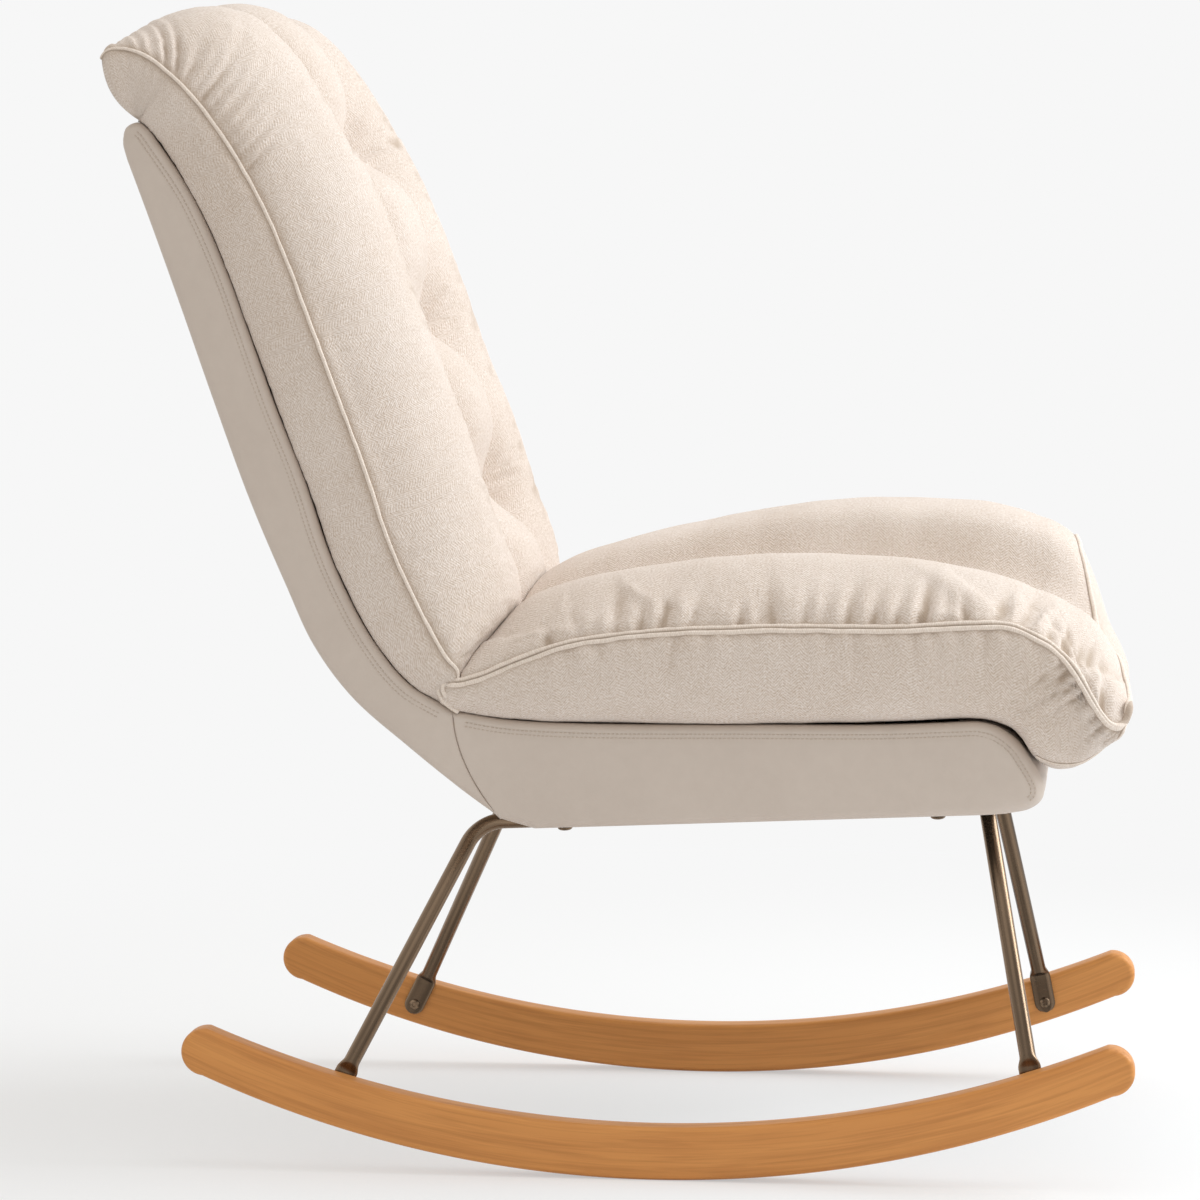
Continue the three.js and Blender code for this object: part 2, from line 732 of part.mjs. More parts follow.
const BOARD_FRONT = FRONT_RAIL_SETBACK + RAIL_THICKNESS + GAP;
const BOARD_REAR = UNDERSIDE_LENGTH - COVER_THICKNESS;
const BOARD_LOW = Math.max(DUST_COVER_THICKNESS, COVER_THICKNESS) + GAP;
const BOARD_TOP = BOARD_LOW + BOARD_THICKNESS;
const FRONT_RAIL_TOP = shellPoint(noseShares[2]).sub(undersideFront).dot(seatUp) - CHEEK_INSET;

function seatBlock(fromS, toS, fromT, toT) {
  const block = new THREE.BoxGeometry(2 * BETWEEN_CHEEKS, toS - fromS, toT - fromT);
  return block.translate(0, (fromS + toS) / 2, (fromT + toT) / 2);
}

function drilledBlock(fromS, toS, fromT, toT) {
  const holes = boltPlaces.flatMap((s) => SIDES.map(([, sign]) => (
    rod(NUT_RADIUS + GAP, -OVERRUN, BOARD_TOP + OVERRUN).translate(sign * RAIL_X, s, 0)
  )));
  return cut(seatBlock(fromS, toS, fromT, toT), ...holes);
}

const board = drilledBlock(BOARD_FRONT, BOARD_REAR, BOARD_LOW, BOARD_TOP);
const dustCover = drilledBlock(COVER_THICKNESS, BOARD_REAR, 0, DUST_COVER_THICKNESS);
const frontRail = seatBlock(FRONT_RAIL_SETBACK, BOARD_FRONT - GAP, BOARD_LOW, FRONT_RAIL_TOP);
place('seat_board', board, plywood, seatFrame);
place('dust_cover', dustCover, lining, seatFrame);
place('front_rail', frontRail, plywood, seatFrame);

// Rails across the back stand on the panel, square to it
const PANEL_OFFSET = COVER_THICKNESS + GAP;
const panelLine = stretch(rear, RAIL_THICKNESS, lineLength(rear) - RAIL_THICKNESS);
place('back_panel', betweenCheeks(stripLoop(panelLine, PANEL_OFFSET, PANEL_THICKNESS)), hardboard);

function backRail(name, distance) {
  const line = stretch(rear, distance - RAIL_DEPTH / 2, distance + RAIL_DEPTH / 2);
  const loop = stripLoop(line, PANEL_OFFSET + PANEL_THICKNESS + GAP, RAIL_THICKNESS);
  place(name, betweenCheeks(loop), plywood);
}

backRail('lumbar_rail', RAIL_THICKNESS + 2 * RAIL_DEPTH);
backRail('top_rail', lineLength(rear) - RAIL_THICKNESS - RAIL_DEPTH);

// Elastic webbing under the cushions, stapled over the cheeks' edges

function webStraps(name, line, count) {
  const usable = lineLength(line) - 2 * WEB_MARGIN;
  const pitch = usable / count;
  for (let i = 0; i < count; i += 1) {
    const start = WEB_MARGIN + pitch * i + (pitch - WEB_WIDTH) / 2;
    const run = stretch(line, start, start + WEB_WIDTH);
    const loop = stripLoop(run, CHEEK_INSET - GAP - WEB_THICKNESS, WEB_THICKNESS);
    const strap = across(loop, SHELL_EDGE - COVER_OUTER, COVER_OUTER - SHELL_EDGE);
    place(`${name}_${i + 1}`, strap, webbing);
  }
}

webStraps('seat_web', seatEdge, 6);
webStraps('back_web', frontOfBack, 8);

// Fasteners

const BOLT_HEAD_RADIUS = BOLT_RADIUS + BOLT_HEAD_OVERHANG;
const BOLT_STANDOFF = RAIL_LEVEL - TUBE_RADIUS - GAP;
const bolt = turned([
  [0, BOLT_STANDOFF - BOLT_HEAD_HEIGHT],
  [BOLT_HEAD_RADIUS - SCREW_RIM, BOLT_STANDOFF - BOLT_HEAD_HEIGHT],
  [BOLT_HEAD_RADIUS, BOLT_STANDOFF - BOLT_HEAD_HEIGHT + SCREW_RIM],
  [BOLT_HEAD_RADIUS, BOLT_STANDOFF],
  [BOLT_RADIUS, BOLT_STANDOFF],
  [BOLT_RADIUS, BOARD_TOP + BOLT_TAIL],
  [0, BOARD_TOP + BOLT_TAIL],
], HOLE_SIDES);
const NUT_SEAT = BOARD_TOP + GAP;
const NUT_FLANGE_RADIUS = NUT_RADIUS + NUT_FLANGE;
const teeNut = turned([
  [BOLT_RADIUS + GAP, NUT_SEAT - NUT_BARREL_LENGTH],
  [NUT_RADIUS, NUT_SEAT - NUT_BARREL_LENGTH],
  [NUT_RADIUS, NUT_SEAT],
  [NUT_FLANGE_RADIUS, NUT_SEAT],
  [NUT_FLANGE_RADIUS, NUT_SEAT + NUT_FLANGE_THICKNESS],
  [BOLT_RADIUS + GAP, NUT_SEAT + NUT_FLANGE_THICKNESS],
  [BOLT_RADIUS + GAP, NUT_SEAT - NUT_BARREL_LENGTH],
], HOLE_SIDES);
for (const [side, sign] of SIDES) {
  for (const [end, s] of [['front', boltPlaces[0]], ['rear', boltPlaces[1]]]) {
    place(`seat_bolt_${end}_${side}`, bolt, bronze, seatFrame).position.set(sign * RAIL_X, s, 0);
    place(`tee_nut_${end}_${side}`, teeNut, steel, seatFrame).position.set(sign * RAIL_X, s, 0);
  }
}

// Screws and their threaded inserts lie along X, drawn for the right-hand runner
const HEAD_SEAT = FOOT_THICKNESS + 2 * GAP;
const SCREW_HEAD_RADIUS = BOLT_RADIUS + SCREW_HEAD_OVERHANG;
const footScrew = turned([
  [0, -INSERT_LENGTH + GAP],
  [BOLT_RADIUS, -INSERT_LENGTH + GAP],
  [BOLT_RADIUS, HEAD_SEAT],
  [SCREW_HEAD_RADIUS, HEAD_SEAT],
  [SCREW_HEAD_RADIUS, HEAD_SEAT + SCREW_RIM],
  [SCREW_HEAD_RADIUS / 2, HEAD_SEAT + SCREW_HEAD_HEIGHT],
  [0, HEAD_SEAT + SCREW_HEAD_HEIGHT],
], HOLE_SIDES).rotateY(Math.PI / 2);
const insert = turned([
  [BOLT_RADIUS + GAP, -INSERT_LENGTH],
  [INSERT_RADIUS, -INSERT_LENGTH],
  [INSERT_RADIUS, 0],
  [BOLT_RADIUS + GAP, 0],
  [BOLT_RADIUS + GAP, -INSERT_LENGTH],
], HOLE_SIDES).rotateY(Math.PI / 2);
for (const [side, sign] of SIDES) {
  for (const [end, foot] of [['front', frontFoot], ['rear', rearFoot]]) {
    const spot = [sign * RUNNER_INNER, foot.y, foot.z];
    place(`foot_screw_${end}_${side}`, forSide(footScrew, sign), bronze).position.set(...spot);
    place(`runner_insert_${end}_${side}`, forSide(insert, sign), steel).position.set(...spot);
  }
}

// Seat cushion: along the seat from its rear end, shares of its length; then the levels of its
// base, side seam, side roll and middle as shares of its height above the seat; then its half
// width as a share of half its width.
const seatCushionShares = [
  [0.000, 0.070, 0.130, 0.230, 0.250, 0.850],
  [0.014, 0.052, 0.170, 0.320, 0.350, 0.930],
  [0.052, 0.024, 0.215, 0.440, 0.480, 0.968],
  [0.112, 0.005, 0.290, 0.580, 0.630, 0.983],
  [0.196, -0.008, 0.370, 0.665, 0.740, 0.990],
  [0.310, -0.005, 0.420, 0.730, 0.845, 0.996],
  [0.431, -0.003, 0.440, 0.770, 0.935, 1.000],
  [0.552, 0.002, 0.450, 0.780, 0.985, 1.000],
  [0.674, 0.012, 0.452, 0.765, 0.995, 1.000],
  [0.765, 0.030, 0.475, 0.716, 0.972, 0.996],
  [0.818, 0.003, 0.475, 0.670, 0.940, 0.992],
  [0.841, -0.050, 0.455, 0.648, 0.920, 0.990],
  [0.860, -0.145, 0.425, 0.625, 0.900, 0.988],
  [0.886, -0.196, 0.380, 0.600, 0.870, 0.985],
  [0.917, -0.194, 0.285, 0.545, 0.790, 0.980],
  [0.944, -0.152, 0.168, 0.485, 0.600, 0.973],
  [0.965, -0.088, 0.080, 0.400, 0.390, 0.962],
  [0.982, -0.030, 0.045, 0.300, 0.275, 0.943],
  [0.994, 0.025, 0.070, 0.185, 0.178, 0.917],
  [1.000, 0.070, 0.095, 0.135, 0.132, 0.887],
];

// The channel beside the middle fades out where the side roll stands less than this over the seam.
const channelFadeShare = 0.45;

function seatCushionRings() {
  const seatRear = shellPoint(seatEdgeShares[0]);
  const seatLevel = shellPoint(seatEdgeShares[4]).y;
  const level = (share) => seatLevel + share * SEAT_CUSHION_HEIGHT;
  return seatCushionShares.map(([along, base, seam, roll, middle, half]) => {
    const y = seatRear.x + SEAT_CUSHION_TUCK - along * SEAT_CUSHION_LENGTH;
    const fade = THREE.MathUtils.clamp((roll - seam) / channelFadeShare, 0, 1);
    const section = halfSection(seatSectionShares, (half * SEAT_CUSHION_WIDTH) / 2, {
      middle: level(middle),
      channel: level(roll) - SEAT_CHANNEL_DEPTH * fade,
      roll: level(roll),
      seam: level(seam),
      low: level(base) - CUSHION_SINK,
    });
    return ringThrough(section.map(([x, z]) => new THREE.Vector3(x, y, z)), RING_POINTS);
  });
}

// Back cushion: along the shell's front edge from the seat upwards, as a share of that edge;
// the tilt of each section in degrees; how far its side seam, side rolls and middle stand out,
// as shares of its thickness; and its half width as a share of half its width.
const backCushionShares = [
  [0.045, 134, 0.215, 0.600, 0.580, 0.900],
  [0.062, 139, 0.280, 0.745, 0.715, 0.960],
  [0.120, 147, 0.345, 0.875, 0.825, 0.988],
  [0.190, 154, 0.380, 0.950, 0.890, 0.996],
  [0.290, 158, 0.395, 0.990, 0.935, 1.000],
  [0.400, 159, 0.400, 1.000, 0.945, 1.000],
  [0.510, 159.5, 0.405, 1.000, 0.950, 1.000],
  [0.620, 160, 0.405, 0.995, 0.945, 1.000],
  [0.730, 160, 0.395, 0.988, 0.938, 1.000],
  [0.830, 160, 0.386, 0.980, 0.925, 1.000],
  [0.920, 159, 0.380, 0.965, 0.905, 1.000],
  [0.985, 152, 0.370, 0.950, 0.885, 0.996],
];
// Over the top the sections fan about the shell's crest: tilt, then the same shares.
const crestFanShares = [
  [138, 0.365, 0.920, 0.870, 0.992],
  [120, 0.370, 0.835, 0.805, 0.988],
  [102, 0.405, 0.715, 0.700, 0.985],
  [84, 0.450, 0.605, 0.605, 0.980],
  [68, 0.480, 0.515, 0.515, 0.972],
  [60, 0.420, 0.460, 0.460, 0.950],
];
const tuftShares = [0.385, 0.655, 0.925];

// One section of the back cushion at a base point, in the plane of x and the tilted direction.
// A positive inset draws the section in, for the hollow; a negative one grows it.
function backSection(base, [tilt, seam, roll, middle, half], tuft, inset) {
  const out = new THREE.Vector3(0, Math.cos(tilt * DEGREE), Math.sin(tilt * DEGREE));
  const low = inset - CUSHION_SINK;
  const level = (share) => Math.max(share * BACK_CUSHION_THICKNESS - inset, low + CUSHION_SINK);
  const channel = level(Math.min(roll, middle)) - BACK_CHANNEL_DEPTH * roll - TUFT_DEPTH * tuft;
  const section = halfSection(backSectionShares, (half * BACK_CUSHION_WIDTH) / 2 - inset, {
    middle: level(middle) - TUFT_MIDDLE_DIP * tuft,
    channel: Math.max(channel, low + CUSHION_SINK),
    roll: level(roll),
    seam: level(seam),
    low,
  });
  const points = section.map(([x, n]) => base.clone().addScaledVector(out, n).setX(x));
  return ringThrough(points, inset > 0 ? HOLLOW_POINTS : RING_POINTS);
}

function backCushionRings(steps, inset) {
  const edge = [...frontOfBack].reverse();
  const length = lineLength(edge);
  const rings = [];
  for (let i = 0; i <= steps; i += 1) {
    const [along, ...row] = rowAt(backCushionShares, i / steps);
    const [p] = stretch(edge, along * length + (i === 0 ? inset : 0), length);
    const nearness = (share) => Math.exp(-((((along - share) * length) / TUFT_REACH) ** 2));
    const tuft = Math.max(...tuftShares.map(nearness));
    rings.push(backSection(new THREE.Vector3(0, p.x, p.y), row, tuft, inset));
  }
  const crown = shellPoint(crestShares[3]);
  for (const row of crestFanShares) {
    rings.push(backSection(new THREE.Vector3(0, crown.x, crown.y), row, 0, inset));
  }
  return rings;
}

// The shell's whole outline, grown by a gap, trims what rests on it.
const shellSpace = across(insetLoop(shellLoop, -CUSHION_GAP), -SEAT_CUSHION_WIDTH, SEAT_CUSHION_WIDTH);

// The cushion is a padded casing; its loose fibre fill goes in through a zip slit behind.
function backCushion() {
  const skin = loft(backCushionRings(BACK_RINGS, 0));
  const hollow = loft(backCushionRings(HOLLOW_RINGS, CASING_WALL).slice(1, -2));
  const [spot, next] = stretch([...frontOfBack].reverse(), ZIP_HEIGHT, ZIP_HEIGHT + ZIP_WIDTH);
  const along = next.clone().sub(spot).normalize();
  const slit = new THREE.BoxGeometry(ZIP_LENGTH, ZIP_WIDTH, 4 * CASING_WALL);
  slit.rotateX(Math.atan2(along.y, along.x));
  slit.translate(0, spot.x, spot.y);
  return cut(skin, hollow, slit, shellSpace);
}

// The seat cushion gives way where the back cushion rests against it.
function seatCushion() {
  const backSpace = loft(backCushionRings(BACK_RINGS, -CUSHION_GAP));
  return cut(loft(seatCushionRings()), shellSpace, backSpace);
}

place('back_cushion', backCushion(), fabric);
place('seat_cushion', seatCushion(), fabric);

// The origin stands on the floor under the middle of the chair
chair.updateMatrixWorld(true);
const bounds = new THREE.Box3().setFromObject(chair, true);
const assembly = new THREE.Group();
assembly.add(chair);
chair.position.y = -(bounds.min.y + bounds.max.y) / 2;

export default assembly;
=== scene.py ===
"""An armless rocking chair: bent timber runners, bronze tube legs, a leatherette shell, and a seat
and a back cushion in cream weave. Metres; +X is the sitter's left, +Y the rear, +Z up."""
import math
from contextlib import contextmanager

import bmesh
import bpy
import numpy as np
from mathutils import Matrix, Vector


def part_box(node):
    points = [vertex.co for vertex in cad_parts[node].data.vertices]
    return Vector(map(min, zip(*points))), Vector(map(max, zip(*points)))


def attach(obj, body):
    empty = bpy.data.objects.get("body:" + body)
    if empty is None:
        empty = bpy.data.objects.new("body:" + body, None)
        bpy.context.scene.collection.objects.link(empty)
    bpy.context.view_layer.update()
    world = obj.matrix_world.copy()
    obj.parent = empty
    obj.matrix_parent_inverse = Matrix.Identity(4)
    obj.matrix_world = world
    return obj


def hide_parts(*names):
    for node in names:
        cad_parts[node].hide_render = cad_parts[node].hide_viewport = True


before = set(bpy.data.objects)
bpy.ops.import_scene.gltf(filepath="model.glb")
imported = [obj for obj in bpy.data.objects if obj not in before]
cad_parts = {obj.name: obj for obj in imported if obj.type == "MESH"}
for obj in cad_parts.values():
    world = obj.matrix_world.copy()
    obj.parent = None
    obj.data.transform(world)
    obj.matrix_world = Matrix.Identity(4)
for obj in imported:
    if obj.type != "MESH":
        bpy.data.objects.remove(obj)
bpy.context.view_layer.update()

MM = 0.001
TAU = 2 * math.pi
SIDES = (("right", -1), ("left", 1))

# Places taken from the frame
RUNNER_LOW, RUNNER_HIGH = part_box("runner_right")
CENTRE_Y = (RUNNER_LOW.y + RUNNER_HIGH.y) / 2
RUNNER_OUTER = -RUNNER_LOW.x
RUNNER_INNER = -RUNNER_HIGH.x
SHELL_LOW, SEAT_COVER_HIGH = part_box("seat_side_cover_right")
SHELL_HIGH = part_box("back_side_cover_right")[1]
SHELL_OUTER = -SHELL_LOW.x
COVER_INNER = -SEAT_COVER_HIGH.x
SHELL_DEPTH = SHELL_HIGH.y - SHELL_LOW.y
SHELL_HEIGHT = SHELL_HIGH.z - SHELL_LOW.z

# Runners
RUNNER_RADIUS = 1112 * MM
RUNNER_TOP_RADIUS = 1147 * MM
RUNNER_DEPTH = 52 * MM
RUNNER_ROUND = 5.5 * MM

# Steel tubes
TUBE_RADIUS = 8 * MM
TUBE_BEND = 40 * MM
HOOP_BEND = 22 * MM
HOOP_SETBACK = 22 * MM
HOOP_FLARE = 11 * MM
RAIL_X = 118 * MM
RAIL_OVERHANG = 73 * MM
TUBE_GAP = 0.3 * MM
FOOT_WIDTH = 22 * MM
FOOT_THICKNESS = 3.5 * MM
FOOT_RISE = 30 * MM
FOOT_FLARE = 9 * MM
TUBE_STEP = 2.5 * MM
SCREW_HEAD_HEIGHT = 2.8 * MM
BOLT_HEAD_HEIGHT = 3.4 * MM
BOLT_HEAD_SEAT = 3.6 * MM
BOLT_HEAD_SHARE = 0.98
SOCKET_SHARE = 0.42
SOCKET_EDGE = 0.07
SOCKET_DEPTH = 0.55

# Shell
PANEL_RIBS = 230
SHELL_ROUND = 9 * MM
NOSE_REACH = 26 * MM
NOSE_FADE = 36 * MM
NOSE_BAND = 20 * MM
NOSE_FALL = 7 * MM
SEAM_BOW = 11 * MM
SEAM_BOW_REACH = 70 * MM
SEAM_ROUND = 2.88 * MM
SEAM_TURN_IN = 6 * MM
SHELL_PUFF = 1.6 * MM
PUFF_FROM_EDGE = 34 * MM
PUFF_FROM_SEAM = 30 * MM
STITCH_OFFSETS = (8.5 * MM, 12.5 * MM)
STITCH_PITCH = 4.2 * MM
STITCH_LENGTH = 3.1 * MM
STITCH_RADIUS = 0.55 * MM
STITCH_DIP = 0.8 * MM
STITCH_DIP_LESS_AT_NOSE = 0.5 * MM
STITCH_DIP_WIDTH = 1.2 * MM
STITCH_SINK = 0.1 * MM
COVER_THICKNESS = 2.4 * MM
COVER_SINK = 0.4 * MM
COVER_PLAY = 0.2 * MM
COVER_SWELL_FROM_SIDE = 40 * MM
COVER_SWELL_FROM_END = 25 * MM
COVER_STITCH_DIP = 0.5 * MM
COVER_STITCH_DIP_WIDTH = 1.1 * MM

# Cushions
SEAT_LENGTH = 659 * MM
SEAT_WIDTH = 532 * MM
SEAT_HEIGHT = 204 * MM
SEAT_TUCK = 4 * MM
FAR_ROLL_BACK = 12 * MM
FAR_ROLL_START = 300 * MM
FAR_ROLL_RUN = 110 * MM
FAR_ROLL_SIDE = 130 * MM
SEAT_TOP_SEAM = 399 * MM
SEAT_CHANNEL = 34 * MM
SEAT_CHANNEL_FADE = 0.45
SEAT_SEAM_PINCH = 4 * MM
SEAT_PINCH_WIDTH = 7 * MM
UNDER_SEAM_ROWS = 40
UNDER_SEAM_COLUMNS = 27
# Painted shade in the cloth's creases: where it begins below the blurred cloth, and how much further down it
# is full
CREASE_START = 0.5 * MM
CREASE_SHADE = 2.6 * MM
BACK_WIDTH = 524 * MM
BACK_THICKNESS = 158 * MM
BACK_CHANNEL = 20 * MM
BACK_SEAM_PINCH = 2.2 * MM
BACK_PINCH_WIDTH = 6 * MM
BACK_FOOT_ROWS = 8
TUFT_DEPTH = 32 * MM
TUFT_MIDDLE_DIP = 36 * MM
TUFT_MIDDLE_RISE = 12 * MM
TUFT_MIDDLE_RUN = 90 * MM
TUFT_REACH = 44 * MM
TUFT_CLOSE = 12 * MM
TUFT_WIDE = 55 * MM
BUTTON_DEPTH = 9 * MM
BUTTON_WIDTH = 11 * MM
STAR_FOLDS = 6
STAR_DEPTH = 3.5 * MM
STAR_OUTER = 34 * MM
STAR_INNER = 9 * MM
CUSHION_SINK = 3 * MM
FULL_THICKNESS = 20 * MM
CUSHION_GAP = 0.8 * MM
CLOTH_STEP = 3 * MM
CLOTH_FRAMES = 20
CLOTH_PRESSURE = 4.0
CLOTH_HOLD_START = 3 * MM
CLOTH_HOLD_FADE = 8 * MM
FOLD_BLUR = (4.5, 3.5)
# Width of the painted shade beside the seams
SEAM_SHADE_WIDTH = 6.5 * MM
WELT_STEP = 2.2 * MM
DENT_FADE = 20 * MM
CREASE_HOLD = 4.5 * MM
END_ROWS = 6
END_SWELL_ROWS = 12

# Columns round a cushion: from the middle of the face to the left seam, under to the right, and back
HALF_COLUMNS = 64
LEFT_SEAM = HALF_COLUMNS
UNDER_MIDDLE = 2 * HALF_COLUMNS
RIGHT_SEAM = 3 * HALF_COLUMNS
COLUMNS = 4 * HALF_COLUMNS
FACE_COLUMNS = np.concatenate([np.arange(LEFT_SEAM, -1, -1), np.arange(COLUMNS - 1, RIGHT_SEAM - 1, -1)])
UNDER_COLUMNS = np.arange(LEFT_SEAM, RIGHT_SEAM + 1)
RIGHT_HALF = np.arange(COLUMNS) > UNDER_MIDDLE

# The photograph's camera, fitted to the runners, legs and shell
LENS = 135.0
CAMERA_PLACE = (-4556.5 * MM, CENTRE_Y - 451.7 * MM, 966.8 * MM)
CAMERA_YAW = 0.117
CAMERA_PITCH = 0.093
BACKDROP_WHITE = (0.93, 0.93, 0.93, 1)
FLOOR_REACH = 14.0

# Side outline of the shell, as shares of its depth from the front and of its height from the base
UNDERSIDE_SHARES = [(0.041, 0.031), (0.551, 0.0)]
CORNER_SHARES = [(0.551, 0.0), (0.587, 0.013)]
REAR_SHARES = [
    (0.587, 0.013), (0.629, 0.052), (0.690, 0.115), (0.752, 0.185), (0.794, 0.259), (0.824, 0.344),
    (0.863, 0.464), (0.903, 0.608), (0.937, 0.736), (0.970, 0.857), (0.996, 0.949),
]
CREST_SHARES = [(0.996, 0.949), (1.0, 0.972), (0.996, 0.993), (0.982, 1.0), (0.971, 0.990)]
FRONT_OF_BACK_SHARES = [
    (0.971, 0.990), (0.924, 0.898), (0.889, 0.799), (0.864, 0.708), (0.837, 0.608), (0.804, 0.5),
    (0.780, 0.405), (0.757, 0.334), (0.729, 0.268), (0.690, 0.206), (0.640, 0.168),
]
SEAT_EDGE_SHARES = [
    (0.640, 0.168), (0.585, 0.156), (0.501, 0.151), (0.316, 0.153), (0.179, 0.155), (0.097, 0.160),
]
NOSE_SHARES = [
    (0.097, 0.160), (0.069, 0.161), (0.048, 0.153), (0.028, 0.134), (0.014, 0.108), (0.0045, 0.087),
    (0.0, 0.070), (0.003, 0.051), (0.016, 0.038), (0.041, 0.031),
]

# Seat cushion from its rear end: shares of its length; of its height for base, seam, roll and
# middle; and of half its width
SEAT_SHARES = [
    (0.000, 0.030, 0.175, 0.250, 0.260, 0.945),
    (0.014, 0.026, 0.188, 0.330, 0.350, 0.968),
    (0.052, 0.014, 0.218, 0.440, 0.480, 0.978),
    (0.112, 0.005, 0.290, 0.580, 0.630, 0.983),
    (0.196, -0.008, 0.370, 0.665, 0.740, 0.990),
    (0.310, -0.005, 0.420, 0.730, 0.845, 0.996),
    (0.431, -0.003, 0.440, 0.770, 0.935, 1.000),
    (0.552, 0.002, 0.450, 0.780, 0.985, 1.000),
    (0.674, 0.012, 0.452, 0.765, 0.995, 1.000),
    (0.765, 0.030, 0.475, 0.716, 0.972, 0.996),
    (0.818, 0.003, 0.475, 0.670, 0.940, 0.992),
    (0.841, -0.050, 0.455, 0.648, 0.920, 0.990),
    (0.860, -0.145, 0.425, 0.625, 0.900, 0.988),
    (0.886, -0.196, 0.380, 0.600, 0.870, 0.985),
    (0.917, -0.194, 0.285, 0.545, 0.790, 0.980),
    (0.944, -0.152, 0.140, 0.485, 0.600, 0.973),
    (0.965, -0.096, 0.040, 0.400, 0.390, 0.962),
    (0.982, -0.056, 0.008, 0.300, 0.275, 0.943),
    (0.994, 0.000, 0.040, 0.185, 0.178, 0.917),
    (1.000, 0.100, 0.105, 0.110, 0.110, 0.887),
]
# Back cushion up the shell's front edge: shares of that edge; tilt in degrees; shares of the
# cushion's thickness for seam, rolls and middle; and of half its width
BACK_SHARES = [
    (0.006, 124, 0.060, 0.140, 0.140, 0.960),
    (0.022, 128, 0.200, 0.400, 0.380, 0.968),
    (0.042, 134, 0.270, 0.620, 0.600, 0.975),
    (0.062, 139, 0.285, 0.745, 0.715, 0.982),
    (0.120, 147, 0.345, 0.875, 0.825, 0.988),
    (0.190, 154, 0.380, 0.950, 0.890, 0.996),
    (0.290, 158, 0.395, 0.990, 0.935, 1.000),
    (0.400, 159, 0.400, 1.000, 0.945, 1.000),
    (0.510, 159.5, 0.405, 1.000, 0.950, 1.000),
    (0.620, 160, 0.405, 0.995, 0.945, 1.000),
    (0.730, 160, 0.395, 0.988, 0.938, 1.000),
    (0.830, 160, 0.386, 0.980, 0.925, 1.000),
    (0.920, 159, 0.380, 0.965, 0.905, 1.000),
    (0.985, 152, 0.370, 0.950, 0.885, 0.996),
]
# Over the crest the sections fan about one point: tilt, then the same shares
CREST_FAN_SHARES = [
    (138, 0.365, 0.920, 0.870, 0.992),
    (120, 0.370, 0.835, 0.805, 0.988),
    (102, 0.405, 0.715, 0.700, 0.985),
    (84, 0.450, 0.605, 0.605, 0.980),
    (68, 0.480, 0.515, 0.515, 0.972),
    (60, 0.440, 0.440, 0.440, 0.950),
]
# Levels at which the rolls' crest passes the rows of tufts
TUFT_LEVELS = (664 * MM, 838 * MM, 1010 * MM)
# Half a section: places across as shares of the half width, and levels as shares between two
SEAT_SECTION = {"shoulder": (0.21, 0.16), "channel": 0.38, "roll": 0.65}
BACK_SECTION = {"shoulder": (0.17, 0.28), "channel": 0.31, "roll": 0.6}
BRIM_SHARE = (0.865, 0.64)
UNDER_SHARES = [(1.0, 0.5), (0.95, 0.1), (0.84, 0.0)]
SEAM_CONTROL = 5


# Helpers: lines

def catmull(control, per=12, closed=False):
    """Centripetal Catmull-Rom: each span blends its four nearest points twice over, with knots
    spaced by the square root of their distance. The leading axes are separate curves."""
    c = np.asarray(control, float)
    if closed:
        c = np.concatenate([c[..., -1:, :], c, c[..., :2, :]], axis=-2)
    else:
        before = 2 * c[..., :1, :] - c[..., 1:2, :]
        after = 2 * c[..., -1:, :] - c[..., -2:-1, :]
        c = np.concatenate([before, c, after], axis=-2)
    spans = c.shape[-2] - 3
    p0, p1, p2, p3 = (c[..., k:k + spans, None, :] for k in range(4))

    def knot(a, b):
        """The step between two knots: the square root of the points' distance."""
        return np.maximum(np.sqrt(np.linalg.norm(b - a, axis=-1, keepdims=True)), 1e-4)

    t1 = knot(p0, p1)
    t2 = t1 + knot(p1, p2)
    t3 = t2 + knot(p2, p3)
    t = t1 + (t2 - t1) * np.linspace(0, 1, per, endpoint=False)[:, None]
    a1 = ((t1 - t) * p0 + t * p1) / t1
    a2 = ((t2 - t) * p1 + (t - t1) * p2) / (t2 - t1)
    a3 = ((t3 - t) * p2 + (t - t2) * p3) / (t3 - t2)
    b1 = ((t2 - t) * a1 + t * a2) / t2
    b2 = ((t3 - t) * a2 + (t - t1) * a3) / (t3 - t1)
    curve = ((t2 - t) * b1 + (t - t1) * b2) / (t2 - t1)
    curve = curve.reshape(*c.shape[:-2], spans * per, c.shape[-1])
    if closed:
        return curve
    return np.concatenate([curve, c[..., -2:-1, :]], axis=-2)


def unit(vectors):
    """Vectors along the last axis, brought to length 1."""
    return vectors / np.maximum(np.linalg.norm(vectors, axis=-1, keepdims=True), 1e-12)


def bell(value, width, power=2):
    """A hill of height 1 over 0 that falls off at a width: exp(-(value / width) ** power)."""
    return np.exp(-(value / width) ** power)


def smooth_step(value):
    """0 below 0 and 1 above 1, with a level start and end between them."""
    value = np.clip(value, 0, 1)
    return value * value * (3 - 2 * value)


def walked(line):
    """The length walked along a line at each of its points."""
    steps = np.linalg.norm(np.diff(line, axis=0), axis=1)
    return np.concatenate([[0.0], np.cumsum(steps)])


def at_lengths(line, lengths):
    """Points of a line at given lengths along it."""
    along = walked(line)
    return np.stack([np.interp(lengths, along, line[:, k]) for k in range(line.shape[1])], axis=-1)


def resampled(line, count, crowd=None):
    """Points at even lengths along a line, or at lengths bent by the function crowd of 0 to 1."""
    share = np.linspace(0, 1, count)
    if crowd is not None:
        share = crowd(share)
    return at_lengths(line, share * walked(line)[-1])


def tangents(line, closed=False):
    """Unit directions along a line, by central differences."""
    if closed:
        return unit(np.roll(line, -1, axis=0) - np.roll(line, 1, axis=0))
    return unit(np.gradient(line, axis=0))


